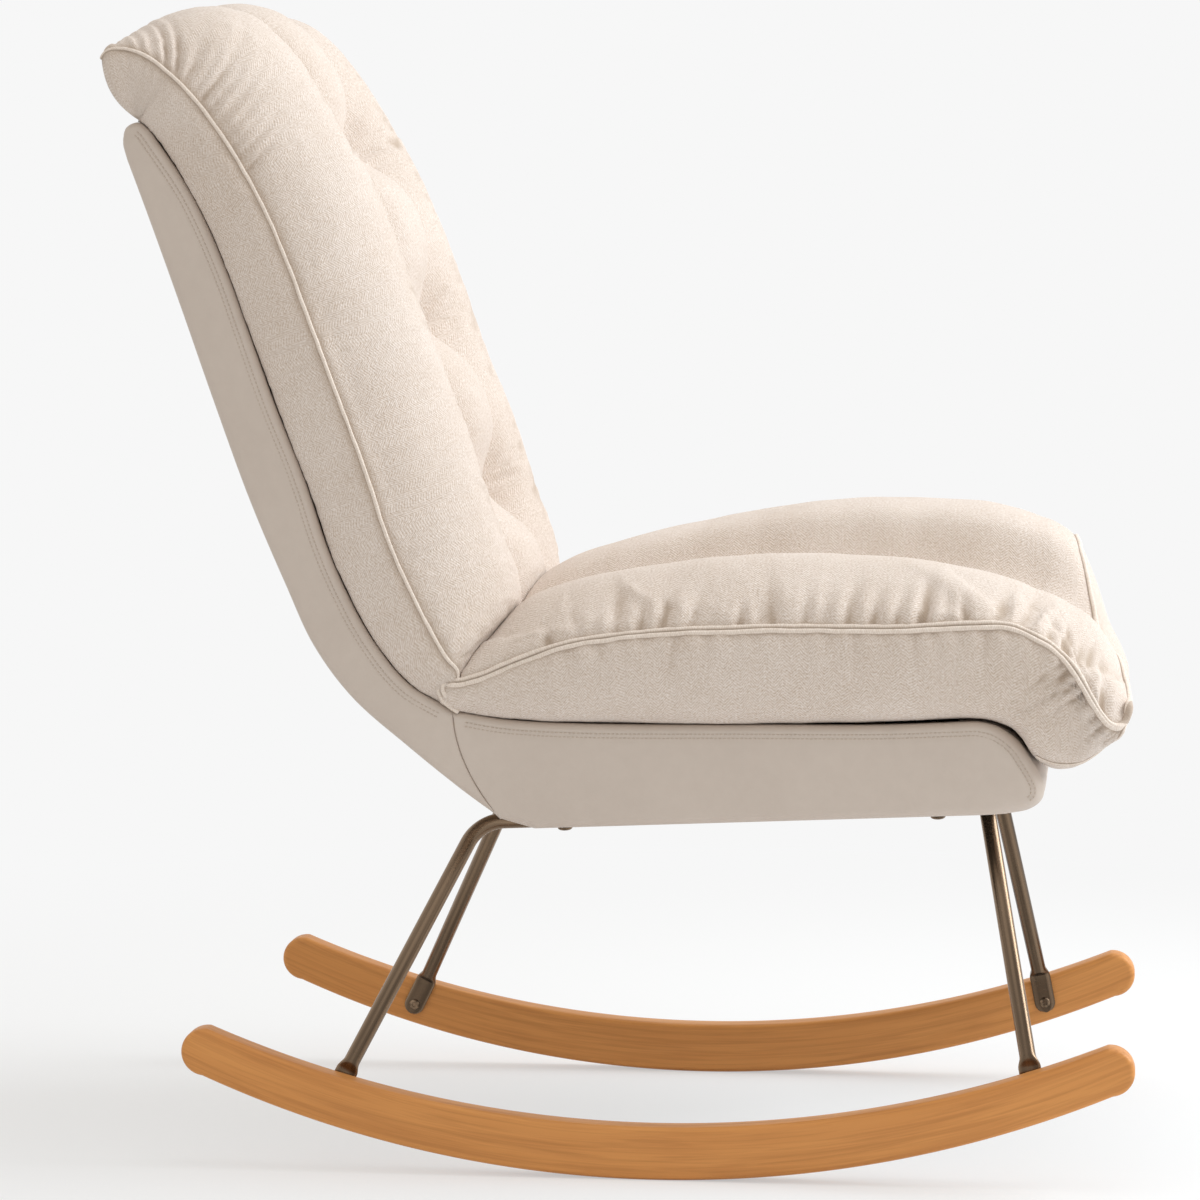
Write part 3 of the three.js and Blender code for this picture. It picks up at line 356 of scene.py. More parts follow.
def leftward(line, closed=False):
    """Unit directions square to a side-plane line, to its left."""
    along = tangents(line, closed)
    return np.stack([-along[:, 1], along[:, 0]], -1)


def shell_line(shares, count):
    """A smooth line in the side plane (y, z) through shares of the shell's outline."""
    scale = np.array([SHELL_DEPTH, SHELL_HEIGHT])
    corner = np.array([SHELL_LOW.y, SHELL_LOW.z])
    return resampled(catmull(corner + np.array(shares) * scale), count)


def distance_to(points, line):
    """The distance of each (y, z) point to a polyline: the least over its segments."""
    start = line[:-1]
    span = line[1:] - start
    best = np.full(len(points), np.inf)
    for block in range(0, len(points), 4000):
        rows = points[block:block + 4000, None, :]
        share = ((rows - start) * span).sum(-1) / np.maximum((span ** 2).sum(-1), 1e-18)
        near = start + np.clip(share, 0, 1)[..., None] * span
        best[block:block + 4000] = np.sqrt(((rows - near) ** 2).sum(-1)).min(1)
    return best


# Helpers: meshes

def grid_faces(rows, columns, closed=False, first=0):
    """Quads over a grid of rows by columns; a closed grid joins its last column to its first."""
    span = columns if closed else columns - 1
    i, j = np.meshgrid(np.arange(rows - 1), np.arange(span), indexing="ij")
    k = (j + 1) % columns
    quads = np.stack([i * columns + j, i * columns + k, (i + 1) * columns + k, (i + 1) * columns + j], -1)
    return quads.reshape(-1, 4) + first


def added(name, data):
    """A new object of the scene, at the origin."""
    made = bpy.data.objects.new(name, data)
    bpy.context.scene.collection.objects.link(made)
    return made


@contextmanager
def edited(mesh):
    """A bmesh of a mesh, written back to it at the end."""
    work = bmesh.new()
    work.from_mesh(mesh)
    yield work
    work.to_mesh(mesh)
    work.free()


def build(name, patches, finish, weld=1e-6, closed_normals=True):
    """One welded mesh from patches of (grid of points, closed, {attribute: grid of vectors})."""
    keys = tuple(patches[0][2])
    points, faces, extra = [], [], {key: [] for key in keys}
    first = 0
    for grid, closed, attributes in patches:
        rows, columns = grid.shape[:2]
        points.append(grid.reshape(-1, 3))
        faces.append(grid_faces(rows, columns, closed, first))
        for key in keys:
            extra[key].append(np.asarray(attributes[key], float).reshape(-1, 3))
        first += rows * columns
    mesh = bpy.data.meshes.new(name)
    mesh.from_pydata(np.concatenate(points), [], np.concatenate(faces))
    for key in keys:
        layer = mesh.attributes.new(key, "FLOAT_VECTOR", "POINT")
        layer.data.foreach_set("vector", np.concatenate(extra[key]).astype(np.float32).ravel())
    with edited(mesh) as work:
        bmesh.ops.remove_doubles(work, verts=work.verts, dist=weld)
        bmesh.ops.dissolve_degenerate(work, edges=work.edges, dist=weld)
        if closed_normals:
            bmesh.ops.recalc_face_normals(work, faces=work.faces)
    mesh.shade_smooth()
    mesh.materials.append(finish)
    return added(name, mesh)


def placed(piece, slot, *nodes):
    """A finished piece rides on the chair and stands for its CAD nodes, which are hidden. The slot is not
    used.
    """
    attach(piece, "root")
    if nodes:
        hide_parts(*nodes)


def swept(path, outward, section):
    """A closed section (across, outward) at each point of a path, carried along it."""
    along = tangents(path)
    out = unit(outward - (outward * along).sum(1, keepdims=True) * along)
    across = np.cross(along, out)
    return path[:, None] + section[..., :1] * across[:, None] + section[..., 1:] * out[:, None]


def to_middle(ring):
    """Two rows that close a ring: the ring, and its middle once for each of its points."""
    return np.stack([ring, np.broadcast_to(ring.mean(0), ring.shape)])


def side_points(line, x):
    """Side-plane points (y, z) set at x, which may be an array."""
    return np.stack([np.broadcast_to(x, line[..., 0].shape), line[..., 0], line[..., 1]], -1)


# Materials

def material(name, roughness, metallic=0.0, **sockets):
    """A new material and its Principled BSDF with fixed values on the shader's own sockets."""
    made = bpy.data.materials.new(name)
    made.use_nodes = True
    shader = made.node_tree.nodes["Principled BSDF"]
    for key, value in {"Roughness": roughness, "Metallic": metallic, **sockets}.items():
        shader.inputs[key.replace("_", " ")].default_value = value
    return made, made.node_tree, shader


def feed(tree, target, value):
    """Links a socket to an input, or sets the input to a plain value."""
    if isinstance(value, bpy.types.NodeSocket):
        tree.links.new(value, target)
    else:
        target.default_value = value


def node(tree, kind, **values):
    """A node with its named properties set; names of inputs take values or links."""
    made = tree.nodes.new(kind)
    for key, value in values.items():
        if hasattr(made, key):
            setattr(made, key, value)
        else:
            feed(tree, made.inputs[key.replace("_", " ")], value)
    return made


def calc(tree, operation, *values):
    """The output of a Math node on numbers or sockets."""
    made = node(tree, "ShaderNodeMath", operation=operation)
    for target, value in zip(made.inputs, values):
        feed(tree, target, value)
    return made.outputs[0]


def blended(tree, share, low, high):
    """The output of a colour Mix node between two colours, by a share."""
    made = node(tree, "ShaderNodeMix", data_type="RGBA")
    for place, value in ((0, share), (6, low), (7, high)):
        feed(tree, made.inputs[place], (*value, 1.0) if isinstance(value, tuple) else value)
    return made.outputs[2]


def spread(tree, value, low, high, way="LINEAR"):
    """A value brought to 0 at its low limit and 1 at its high one, by a Map Range node."""
    return node(tree, "ShaderNodeMapRange", interpolation_type=way, Value=value, From_Min=low,
                From_Max=high).outputs[0]


def noise(tree, place, size, detail, **more):
    """The share put out by a noise texture at a place."""
    return node(tree, "ShaderNodeTexNoise", Vector=place, Scale=size, Detail=detail, **more).outputs["Fac"]


def streaks(tree, place, scale, detail, **more):
    """Noise on coordinates scaled unevenly, so that it is drawn out along the first of them."""
    shape = node(tree, "ShaderNodeMapping", Vector=place, Scale=scale)
    return noise(tree, shape.outputs[0], 1.0, detail, **more)


def shared_group(name, output, fill, **sizes):
    """A node group on coordinates, with named sizes and one output, filled by a function."""
    tree = bpy.data.node_groups.new(name, "ShaderNodeTree")
    tree.interface.new_socket("Place", in_out="INPUT", socket_type="NodeSocketVector")
    for label, value in sizes.items():
        socket = tree.interface.new_socket(label, in_out="INPUT", socket_type="NodeSocketFloat")
        socket.default_value = value
    tree.interface.new_socket(output, in_out="OUTPUT", socket_type="NodeSocketFloat")
    start = tree.nodes.new("NodeGroupInput")
    end = tree.nodes.new("NodeGroupOutput")
    tree.links.new(fill(tree, start.outputs), end.inputs[output])
    return tree


def placed_group(tree, shared, place, **sizes):
    """The output of a shared node group placed in a material with its own sizes."""
    return node(tree, "ShaderNodeGroup", node_tree=shared, Place=place, **sizes).outputs[0]


def weave_fill(tree, given):
    """Chevron twill: diagonal ribs that turn back in each band, over crossing threads."""
    split = node(tree, "ShaderNodeSeparateXYZ", Vector=given["Place"])
    along, across = split.outputs[0], split.outputs[1]

    def waves(value, turn):
        """The sine of a length over the thread pitch, by so many radians a pitch."""
        return calc(tree, "SINE", calc(tree, "MULTIPLY", calc(tree, "DIVIDE", value, given["Pitch"]), turn))

    slope = calc(tree, "ADD", across, calc(tree, "PINGPONG", along, given["Band"]))
    threads = calc(tree, "MULTIPLY", waves(along, 2 * TAU), waves(across, 2 * TAU))
    ribs = calc(tree, "MULTIPLY_ADD", waves(slope, TAU), 0.34, calc(tree, "MULTIPLY", threads, 0.2))
    slub = calc(tree, "SUBTRACT", noise(tree, given["Place"], 420.0, 3.0), 0.5)
    return calc(tree, "ADD", ribs, calc(tree, "MULTIPLY", slub, 2.6))


def mottle_fill(tree, given):
    """Soft uneven tone: two noises of different size, as a share from 0 to 1."""
    broad = noise(tree, given["Place"], given["Size"], 2.0)
    fine = noise(tree, given["Place"], calc(tree, "MULTIPLY", given["Size"], 9.0), 3.0)
    return calc(tree, "MULTIPLY_ADD", fine, 0.4, calc(tree, "MULTIPLY", broad, 0.6))


def pebble_fill(tree, given):
    """Leather grain: cells with soft borders, as a height."""
    cells = node(tree, "ShaderNodeTexVoronoi", Vector=given["Place"], Scale=given["Cells"])
    soft = calc(tree, "MULTIPLY", noise(tree, given["Place"], 160.0, 2.0), 0.6)
    return calc(tree, "SUBTRACT", soft, cells.outputs["Distance"])


WEAVE = shared_group("weave", "Height", weave_fill, Pitch=3 * MM, Band=10 * MM)
MOTTLE = shared_group("mottle", "Share", mottle_fill, Size=5.0)
PEBBLE = shared_group("pebble", "Height", pebble_fill, Cells=700.0)


def surfaced(tree, shader, colour, roughness=None, relief=None):
    """Feeds the shader its colour, its roughness and a bump of (height, strength, distance)."""
    tree.links.new(colour, shader.inputs["Base Color"])
    if roughness is not None:
        tree.links.new(roughness, shader.inputs["Roughness"])
    if relief is not None:
        height, strength, distance = relief
        bump = node(tree, "ShaderNodeBump", Height=height, Strength=strength, Distance=distance)
        tree.links.new(bump.outputs[0], shader.inputs["Normal"])


def object_place(tree):
    """The point of the surface in the object's own coordinates."""
    return node(tree, "ShaderNodeTexCoord").outputs["Object"]


def own_place(tree, name):
    """A piece's own coordinates that follow its surface, kept as an attribute."""
    return node(tree, "ShaderNodeAttribute", attribute_name=name).outputs["Vector"]


def cushion_weave(name, pale, deep, painted_shade_colour, pitch, relief):
    """Cream chevron weave on the cloth's own coordinates, darker between its ribs; painted shade blends it
    towards a darker colour where the shade attribute marks creases, seams and the cord's underside.
    """
    made, tree, shader = material(name, 0.92, Sheen_Weight=0.18, Sheen_Roughness=0.5)
    place = own_place(tree, "cloth")
    weave = placed_group(tree, WEAVE, place, Pitch=pitch, Band=2.7 * pitch)
    mottle = placed_group(tree, MOTTLE, place, Size=7.0)
    share = calc(tree, "MULTIPLY_ADD", weave, 0.48, calc(tree, "MULTIPLY_ADD", mottle, 0.5, 0.26))
    # Painted shade: where the shade attribute is high, the weave is blended towards a darker colour.
    shade = node(tree, "ShaderNodeSeparateXYZ", Vector=own_place(tree, "shade")).outputs[0]
    colour = blended(tree, calc(tree, "MULTIPLY", shade, 0.75), blended(tree, share, deep, pale), painted_shade_colour)
    surfaced(tree, shader, colour, relief=(weave, 0.5, relief))
    return made


def leatherette(name, pale, deep):
    """Greige leatherette: fine pebble grain, soft mottle, a satin that varies a little."""
    made, tree, shader = material(name, 0.5)
    place = object_place(tree)
    mottle = placed_group(tree, MOTTLE, place, Size=9.0)
    pebble = placed_group(tree, PEBBLE, place, Cells=620.0)
    surfaced(tree, shader, blended(tree, mottle, deep, pale), calc(tree, "MULTIPLY_ADD", mottle, 0.18, 0.4),
             (pebble, 0.3, 0.25 * MM))
    return made


def timber(name, pale, deep, dark):
    """Honey wood: lengthwise figure, dark lines and pores on coordinates that follow the bend."""
    made, tree, shader = material(name, 0.45, Coat_Weight=0.06, Coat_Roughness=0.3,
                                  Specular_IOR_Level=0.35)
    place = own_place(tree, "grain")
    figure, lines, pores = (
        streaks(tree, place, scale, detail, Roughness=0.6, Distortion=0.4)
        for scale, detail in (((3.0, 46.0, 30.0), 3.0), ((7.0, 240.0, 160.0), 4.0),
                              ((60.0, 1400.0, 900.0), 2.0)))
    darker = calc(tree, "MULTIPLY", spread(tree, lines, 0.42, 0.66), 0.42)
    surfaced(tree, shader, blended(tree, darker, blended(tree, figure, deep, pale), dark),
             calc(tree, "MULTIPLY_ADD", lines, 0.2, 0.4), (pores, 0.25, 0.15 * MM))
    return made


def bronze(name, pale, deep):
    """Satin bronze coat: broad dark and pale bands along the tube that are painted reflections, fine streaks
    of brushing along it, and a slightly uneven sheen.
    """
    made, tree, shader = material(name, 0.3, metallic=0.92)
    place = own_place(tree, "brushed_and_reflection")
    # Painted reflection: broad dark and pale bands along the tube, fixed to its surface, stand in for
    # reflections of the studio.
    broad = spread(tree, streaks(tree, place, (1.6, 150.0, 150.0), 1.0), 0.38, 0.60)
    fine = streaks(tree, place, (9.0, 700.0, 700.0), 3.0)
    mottle = placed_group(tree, MOTTLE, place, Size=30.0)
    uneven = calc(tree, "MULTIPLY_ADD", fine, 0.35, calc(tree, "MULTIPLY", mottle, 0.15))
    share = calc(tree, "MULTIPLY_ADD", broad, 0.55, uneven)
    surfaced(tree, shader, blended(tree, share, deep, pale), calc(tree, "MULTIPLY_ADD", mottle, 0.16, 0.18))
    return made


def plain_stock(name, pale, deep, roughness, size, metallic=0.0):
    """Inner stock such as plywood or lining: two tones under a mottle, with a fine relief."""
    made, tree, shader = material(name, roughness, metallic)
    mottle = placed_group(tree, MOTTLE, object_place(tree), Size=size)
    surfaced(tree, shader, blended(tree, mottle, deep, pale), relief=(mottle, 0.3, 0.2 * MM))
    return made


# The third colour of each weave is its painted shade, for creases, seams and the cord's underside.
FABRIC = cushion_weave("cream_weave", (0.88, 0.81, 0.765), (0.50, 0.385, 0.29), (0.42, 0.32, 0.235),
                       3.0 * MM, 0.55 * MM)
CORD_FABRIC = cushion_weave("cream_cord", (0.90, 0.82, 0.75), (0.66, 0.55, 0.46), (0.36, 0.27, 0.20),
                            2.2 * MM, 0.3 * MM)
LEATHER = leatherette("greige_leatherette", (0.65, 0.57, 0.505), (0.54, 0.463, 0.405))
THREAD = plain_stock("stitch_thread", (0.62, 0.53, 0.45), (0.45, 0.37, 0.30), 0.7, 900.0)
WOOD = timber("honey_beech", (0.75, 0.345, 0.10), (0.575, 0.232, 0.058), (0.37, 0.135, 0.034))
BRONZE = bronze("satin_bronze", (0.30, 0.207, 0.134), (0.032, 0.021, 0.013))
PLYWOOD = plain_stock("birch_plywood", (0.66, 0.50, 0.32), (0.52, 0.37, 0.21), 0.65, 40.0)
HARDBOARD = plain_stock("brown_hardboard", (0.22, 0.13, 0.07), (0.14, 0.08, 0.045), 0.75, 90.0)
WEBBING = plain_stock("black_webbing", (0.035, 0.033, 0.03), (0.015, 0.014, 0.013), 0.85, 500.0)
LINING = plain_stock("dust_lining", (0.03, 0.03, 0.03), (0.014, 0.014, 0.014), 0.9, 600.0)
ZINC = plain_stock("zinc_steel", (0.62, 0.62, 0.60), (0.48, 0.48, 0.47), 0.35, 200.0, 0.95)


# Runners

def runner_halves(count=150, tip=22):
    """Lower and upper halves of the runner's side outline: an arc with a quarter of each round tip."""
    reach = (RUNNER_HIGH.y - RUNNER_LOW.y) / 2 - RUNNER_DEPTH / 2
    angle = np.linspace(-1, 1, count) * math.asin(reach / RUNNER_RADIUS)
    top_angle = np.linspace(-1, 1, count) * math.asin((reach - RUNNER_ROUND) / RUNNER_TOP_RADIUS)
    low = np.stack([RUNNER_RADIUS * np.sin(angle), RUNNER_RADIUS * (1 - np.cos(angle))], -1)
    high = np.stack([RUNNER_TOP_RADIUS * np.sin(top_angle),
                     RUNNER_DEPTH + RUNNER_TOP_RADIUS * (1 - np.cos(top_angle))], -1)
    halves = []
    for line, other, sign in ((low, high, 1), (high, low, -1)):
        centre = (line[-1] + other[-1]) / 2
        arm = line[-1] - centre
        turn = sign * np.linspace(0, TAU / 4, tip)[1:, None]
        quarter = centre + np.concatenate([arm[0] * np.cos(turn) - arm[1] * np.sin(turn),
                                           arm[0] * np.sin(turn) + arm[1] * np.cos(turn)], 1)
        start = quarter[::-1] * np.array([-1, 1])
        halves.append(np.concatenate([start, line, quarter]) + np.array([CENTRE_Y, 0]))
    return halves


def runner(name, sign, node_name):
    """The outline carried across its thickness, both rims a quarter round; flat faces between."""
    low, high = runner_halves()
    loop = np.concatenate([low, high[::-1][1:-1]])
    inward = leftward(loop, closed=True)
    turn = np.linspace(0, TAU / 4, 7)
    inset = RUNNER_ROUND * (1 - np.sin(turn))
    depth = RUNNER_ROUND * (1 - np.cos(turn))
    inset = np.concatenate([inset, inset[::-1]])
    place = np.concatenate([RUNNER_INNER + depth, (RUNNER_OUTER - depth)[::-1]])
    rim = np.stack([side_points(loop + step * inward, sign * x) for step, x in zip(inset, place)])
    count = len(low)

    def face(loop_row):
        """A flat face: the lower and the upper half of a row, joined by straight rungs."""
        lower = loop_row[:count]
        upper = np.concatenate([loop_row[:1], loop_row[count:][::-1], loop_row[count - 1:count]])
        share = np.linspace(0, 1, 5)[:, None, None]
        return lower * (1 - share) + upper * share

    def grain(grid):
        """Lengths along the bend, out from its centre and across, set apart for the two runners."""
        y, z = grid[..., 1] - CENTRE_Y, RUNNER_RADIUS - grid[..., 2]
        return np.stack([RUNNER_RADIUS * np.arctan2(y, z) + sign, np.hypot(y, z), grid[..., 0]], -1)

    patches = [(grid, closed, {"grain": grain(grid)})
               for grid, closed in ((rim, True), (face(rim[0]), False), (face(rim[-1]), False))]
    placed(build(name, patches, WOOD), "runner_timber", node_name)


for side, sign in SIDES:
    runner(f"bent_runner_{side}", sign, f"runner_{side}")


# Steel tubes

UNDER_FRONT, UNDER_REAR = shell_line(UNDERSIDE_SHARES, 2)
SEAT_ALONG = unit(UNDER_REAR - UNDER_FRONT)
SEAT_UP = np.array([-SEAT_ALONG[1], SEAT_ALONG[0]])
UNDER_LENGTH = np.linalg.norm(UNDER_REAR - UNDER_FRONT)
RAIL_LEVEL = -(TUBE_GAP + TUBE_RADIUS)
FOOT_X = RUNNER_INNER - TUBE_GAP - FOOT_THICKNESS / 2


def seat_point(x, along, up):
    """A point at x, so far along the shell's straight underside and so far square above it."""
    y, z = UNDER_FRONT + along * SEAT_ALONG + up * SEAT_UP
    return np.array([x, y, z])


def box_middle(node_name):
    """The y and z of the middle of a CAD node's box."""
    low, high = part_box(node_name)
    return (low.y + high.y) / 2, (low.z + high.z) / 2


def foot_place(end):
    """Where the middle of a right foot's tab lies, at its screw."""
    return np.array([-FOOT_X, *box_middle(f"foot_screw_{end}_right")])


def rounded_path(corners, bend):
    """A path through corners, each inner corner replaced by an arc of the bend's radius."""
    points = [corners[0]]
    for before, corner, after in zip(corners, corners[1:], corners[2:]):
        back, ahead = unit(before - corner), unit(after - corner)
        half = math.acos(np.clip(back @ ahead, -1, 1)) / 2
        centre = corner + unit(back + ahead) * bend / math.sin(half)
        start = corner + back * bend / math.tan(half) - centre
        end = corner + ahead * bend / math.tan(half) - centre
        sweep = math.pi - 2 * half
        for share in np.linspace(0, 1, 17):
            arm = (start * math.sin((1 - share) * sweep) + end * math.sin(share * sweep)) / math.sin(sweep)
            points.append(centre + arm)
    return np.array(points + [corners[-1]])


def leg_tube(name, corners, bend, foot_ends, node_name):
    """A round section carried along the path; near each foot it is pressed to a flat tab whose
    breadth closes in a half circle. Sections are superellipses from round to flat, and stand a
    little closer at the feet."""
    def crowded(share):
        """Spacing that is closer at both ends, or at the one end with a foot."""
        return share - 0.12 * np.sin(TAU * share) / TAU if foot_ends == 2 else share ** 1.15

    path = rounded_path(corners, bend)
    path = resampled(path, int(walked(path)[-1] / TUBE_STEP), crowded)
    length = walked(path)
    along = tangents(path)
    lean = path[6] - path[0]
    breadth = unit(np.array([0.0, lean[2], -lean[1]]))
    breadth = unit(breadth - (along @ breadth)[:, None] * along)
    through = np.cross(along, breadth)
    from_end = np.minimum(length, length[-1] - length) if foot_ends == 2 else length
    tab = FOOT_WIDTH / 2 + FOOT_RISE
    round_share = smooth_step((from_end - tab + 1 * MM) / (FOOT_FLARE + 2 * MM))
    half = FOOT_WIDTH / 2 + (TUBE_RADIUS - FOOT_WIDTH / 2) * round_share
    thick = FOOT_THICKNESS / 2 + (TUBE_RADIUS - FOOT_THICKNESS / 2) * round_share
    tip = np.clip(1 - from_end / (FOOT_WIDTH / 2), 0, 1)
    half = half * np.sqrt(np.maximum(1 - tip ** 2, 1e-6))
    power = 2 / (4.5 - 2.5 * round_share)
    angle = np.linspace(0, TAU, 33)[:-1]
    cosine, sine = np.cos(angle), np.sin(angle)
    reach = np.sign(cosine) * np.abs(cosine) ** power[:, None] * half[:, None]
    rise = np.sign(sine) * np.abs(sine) ** power[:, None] * thick[:, None]
    grid = path[:, None] + reach[..., None] * breadth[:, None] + rise[..., None] * through[:, None]
    brushed_and_reflection = np.stack(np.broadcast_arrays(length[:, None], TUBE_RADIUS * cosine, TUBE_RADIUS * sine), -1)
    patches = [(grid, True, {"brushed_and_reflection": brushed_and_reflection})]
    patches += [(to_middle(grid[k]), True, {"brushed_and_reflection": brushed_and_reflection[[k, k]]}) for k in (0, -1)]
    placed(build(name, patches, BRONZE), "bronze_steel", node_name)


def leg_corners(foot, top):
    """The start of a leg: the tab's end below its screw, and the tab's root."""
    lean = unit(np.array([0.0, *(top - foot)[1:]]))
    return foot - lean * FOOT_WIDTH / 2, foot + lean * FOOT_RISE


HOOP_CORNER = seat_point(-RAIL_X - HOOP_FLARE, HOOP_SETBACK, RAIL_LEVEL)
RAIL_CORNER = seat_point(-RAIL_X, UNDER_LENGTH + RAIL_OVERHANG, RAIL_LEVEL)
FLIP = np.array([-1.0, 1.0, 1.0])


def steel_frame():
    """The front hoop through both front legs, and on each side a rear leg with its rail."""
    tip, root = leg_corners(foot_place("front"), HOOP_CORNER)
    half = [tip, root, HOOP_CORNER]
    leg_tube("front_hoop_tube", half + [p * FLIP for p in half[::-1]], HOOP_BEND, 2, "front_leg_hoop")
    tip, root = leg_corners(foot_place("rear"), RAIL_CORNER)
    rail_end = seat_point(-RAIL_X, HOOP_SETBACK + TUBE_RADIUS / 2, RAIL_LEVEL)
    for side, sign in SIDES:
        corners = [p if sign < 0 else p * FLIP for p in (tip, root, RAIL_CORNER, rail_end)]
        leg_tube(f"side_tube_{side}", corners, TUBE_BEND, 1, f"leg_and_rail_{side}")


steel_frame()


def domed_head(name, centre, axis, radius, height, node_name, rings=18, around=60):
    """A button head with a six-sided socket: height over a polar grid, round at its rim."""
    axis = np.array(axis, float)
    side = unit(np.cross(axis, [0.0, 0.0, 1.0] if abs(axis[2]) < 0.9 else [0.0, 1.0, 0.0]))
    other = np.cross(axis, side)
    share = np.linspace(1, 0, rings)[:, None]
    angle = np.linspace(0, TAU, around + 1)[None, :-1]
    rise = height * np.sqrt(np.maximum(1 - (0.96 * share) ** 2.4, 0))
    hexagon = SOCKET_SHARE / np.cos((angle % (TAU / 6)) - TAU / 12)
    rise = rise - SOCKET_DEPTH * height * smooth_step((hexagon - share) / SOCKET_EDGE)
    rise = np.concatenate([np.zeros((1, around)), rise])
    share = np.concatenate([[[1.0]], share])
    grid = (np.asarray(centre) + rise[..., None] * axis
            + (radius * share * np.cos(angle))[..., None] * side
            + (radius * share * np.sin(angle))[..., None] * other)
    placed(build(name, [(grid, True, {"brushed_and_reflection": grid})], BRONZE), "bronze_steel", node_name)


def fastener_heads():
    """Screw heads on the four flat feet and bolt heads under the two rails."""
    tab_face = FOOT_X - FOOT_THICKNESS / 2
    down = (0, -SEAT_UP[0], -SEAT_UP[1])
    for side, sign in SIDES:
        for end in ("front", "rear"):
            screw, bolt = f"foot_screw_{end}_{side}", f"seat_bolt_{end}_{side}"
            low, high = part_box(screw)
            domed_head(f"foot_screw_head_{end}_{side}", (sign * tab_face, *box_middle(screw)), (-sign, 0, 0),
                       (high.z - low.z) / 2, SCREW_HEAD_HEIGHT, screw)
            low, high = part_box(bolt)
            place = (sign * RAIL_X, box_middle(bolt)[0], low.z + BOLT_HEAD_SEAT)
            domed_head(f"seat_bolt_head_{end}_{side}", place, down,
                       (high.y - low.y) / 2 * BOLT_HEAD_SHARE, BOLT_HEAD_HEIGHT, bolt)


fastener_heads()


# Shell: panels on the sides

CREST = shell_line(CREST_SHARES, 41)
REAR = shell_line(REAR_SHARES, 260)
CORNER = shell_line(CORNER_SHARES, 12)
UNDERSIDE = shell_line(UNDERSIDE_SHARES, 120)
FRONT_OF_BACK = shell_line(FRONT_OF_BACK_SHARES, 260)
SEAT_EDGE = shell_line(SEAT_EDGE_SHARES, 140)
NOSE = shell_line(NOSE_SHARES, 91)
CREST_MIDDLE = 22
NOSE_MIDDLE = 58


def chained(*lines):
    """Lines joined end to end, each shared point once."""
    return np.concatenate([lines[0], *(line[1:] for line in lines[1:])])


SHELL_LOOP = chained(UNDERSIDE, CORNER, REAR, CREST, FRONT_OF_BACK, SEAT_EDGE, NOSE)


def panel_rows(width, round_radius, middle=22):
    """Shares across a panel: dense in both rounded rims, even between them."""
    turn = np.linspace(0, TAU / 4, 8)
    rim = np.minimum(round_radius * (1 - np.sin(turn))[::-1] / width, 0.49)
    inner = np.linspace(rim[-1], 1 - rim[-1], middle + 2)[1:-1]
    return np.concatenate([rim, inner, 1 - rim[::-1]])


def rolled(distance, radius):
    """How far a rounded rim falls back at a distance inside its edge: a quarter circle."""
    inside = np.clip(1 - distance / radius, 0, 1)
    return radius * (1 - np.sqrt(np.maximum(1 - inside ** 2, 0)))


def side_panel(name, outer, inner, node_name, sign):
    """Ribs from the cushion edge to the outer edge, from the cross seam on. The face falls back in a
    quarter round at the edges, further round the nose, and in a small round at the cross seam. It
    puffs in its middle and dips along the stitching."""
    def crowded(share):
        """Spacing that is closer at both ends, and most at the cross seam."""
        return 0.5 * share ** 1.25 + 0.5 * (0.5 - 0.5 * np.cos(math.pi * share))

    inner_line = resampled(inner, PANEL_RIBS, crowded)
    outer_line = resampled(outer, PANEL_RIBS, crowded)
    width = np.linalg.norm(outer_line - inner_line, axis=1)
    shares = np.stack([panel_rows(max(w, 2 * MM), SHELL_ROUND) for w in width])
    ribs = inner_line[:, None] + (outer_line - inner_line)[:, None] * shares[..., None]
    ribs[..., 0] += SEAM_BOW * bell(walked(inner_line), SEAM_BOW_REACH)[:, None] * 4 * shares * (1 - shares)
    flat = ribs.reshape(-1, 2)
    to_inner = distance_to(flat, inner_line)
    to_edge = np.minimum(to_inner, distance_to(flat, outer_line))
    to_seam = distance_to(flat, ribs[0])
    at_nose = 1 - smooth_step((flat[:, 0] - SHELL_LOW.y - NOSE_REACH) / NOSE_FADE)
    back = rolled(to_edge, SHELL_ROUND)
    back += at_nose * NOSE_FALL * np.clip(1 - to_edge / NOSE_BAND, 0, 1) ** 2.2
    back = np.maximum(back, rolled(to_seam, SEAM_ROUND))
    for offset in STITCH_OFFSETS:
        dip = STITCH_DIP - STITCH_DIP_LESS_AT_NOSE * at_nose
        back += dip * bell(to_inner - offset, STITCH_DIP_WIDTH)
    back -= SHELL_PUFF * smooth_step(to_edge / PUFF_FROM_EDGE) * smooth_step(to_seam / PUFF_FROM_SEAM)
    face = side_points(ribs, sign * (SHELL_OUTER - back.reshape(ribs.shape[:2])))
    to_wall = np.array([0.0, 1.0, 1.0])
    wall = np.array([sign * COVER_INNER, 0, 0])
    grid = np.concatenate([face[:, :1] * to_wall + wall, face, face[:, -1:] * to_wall + wall], axis=1)
    rim = np.stack([grid[0], grid[0] - np.array([sign * SEAM_TURN_IN, 0, 0])])
    if sign > 0:
        grid, rim = grid[:, ::-1], rim[::-1]
    piece = build(name, [(grid, False, {}), (rim, False, {})], LEATHER, closed_normals=False)
    outward_faces(piece, sign)
    wall_it(piece)
    placed(piece, "shell_leatherette", node_name)


def outward_faces(piece, sign):
    """Turns the faces of an open side panel so that they point away from the chair's middle."""
    with edited(piece.data) as work:
        bmesh.ops.recalc_face_normals(work, faces=work.faces)
        if sign * sum(face.normal.x * face.calc_area() for face in work.faces) < 0:
            bmesh.ops.reverse_faces(work, faces=work.faces)


def wall_it(piece):
    """Gives an open skin its wall, inwards."""
    solidify = piece.modifiers.new("wall", "SOLIDIFY")
    solidify.thickness = COVER_THICKNESS
    solidify.offset = -1


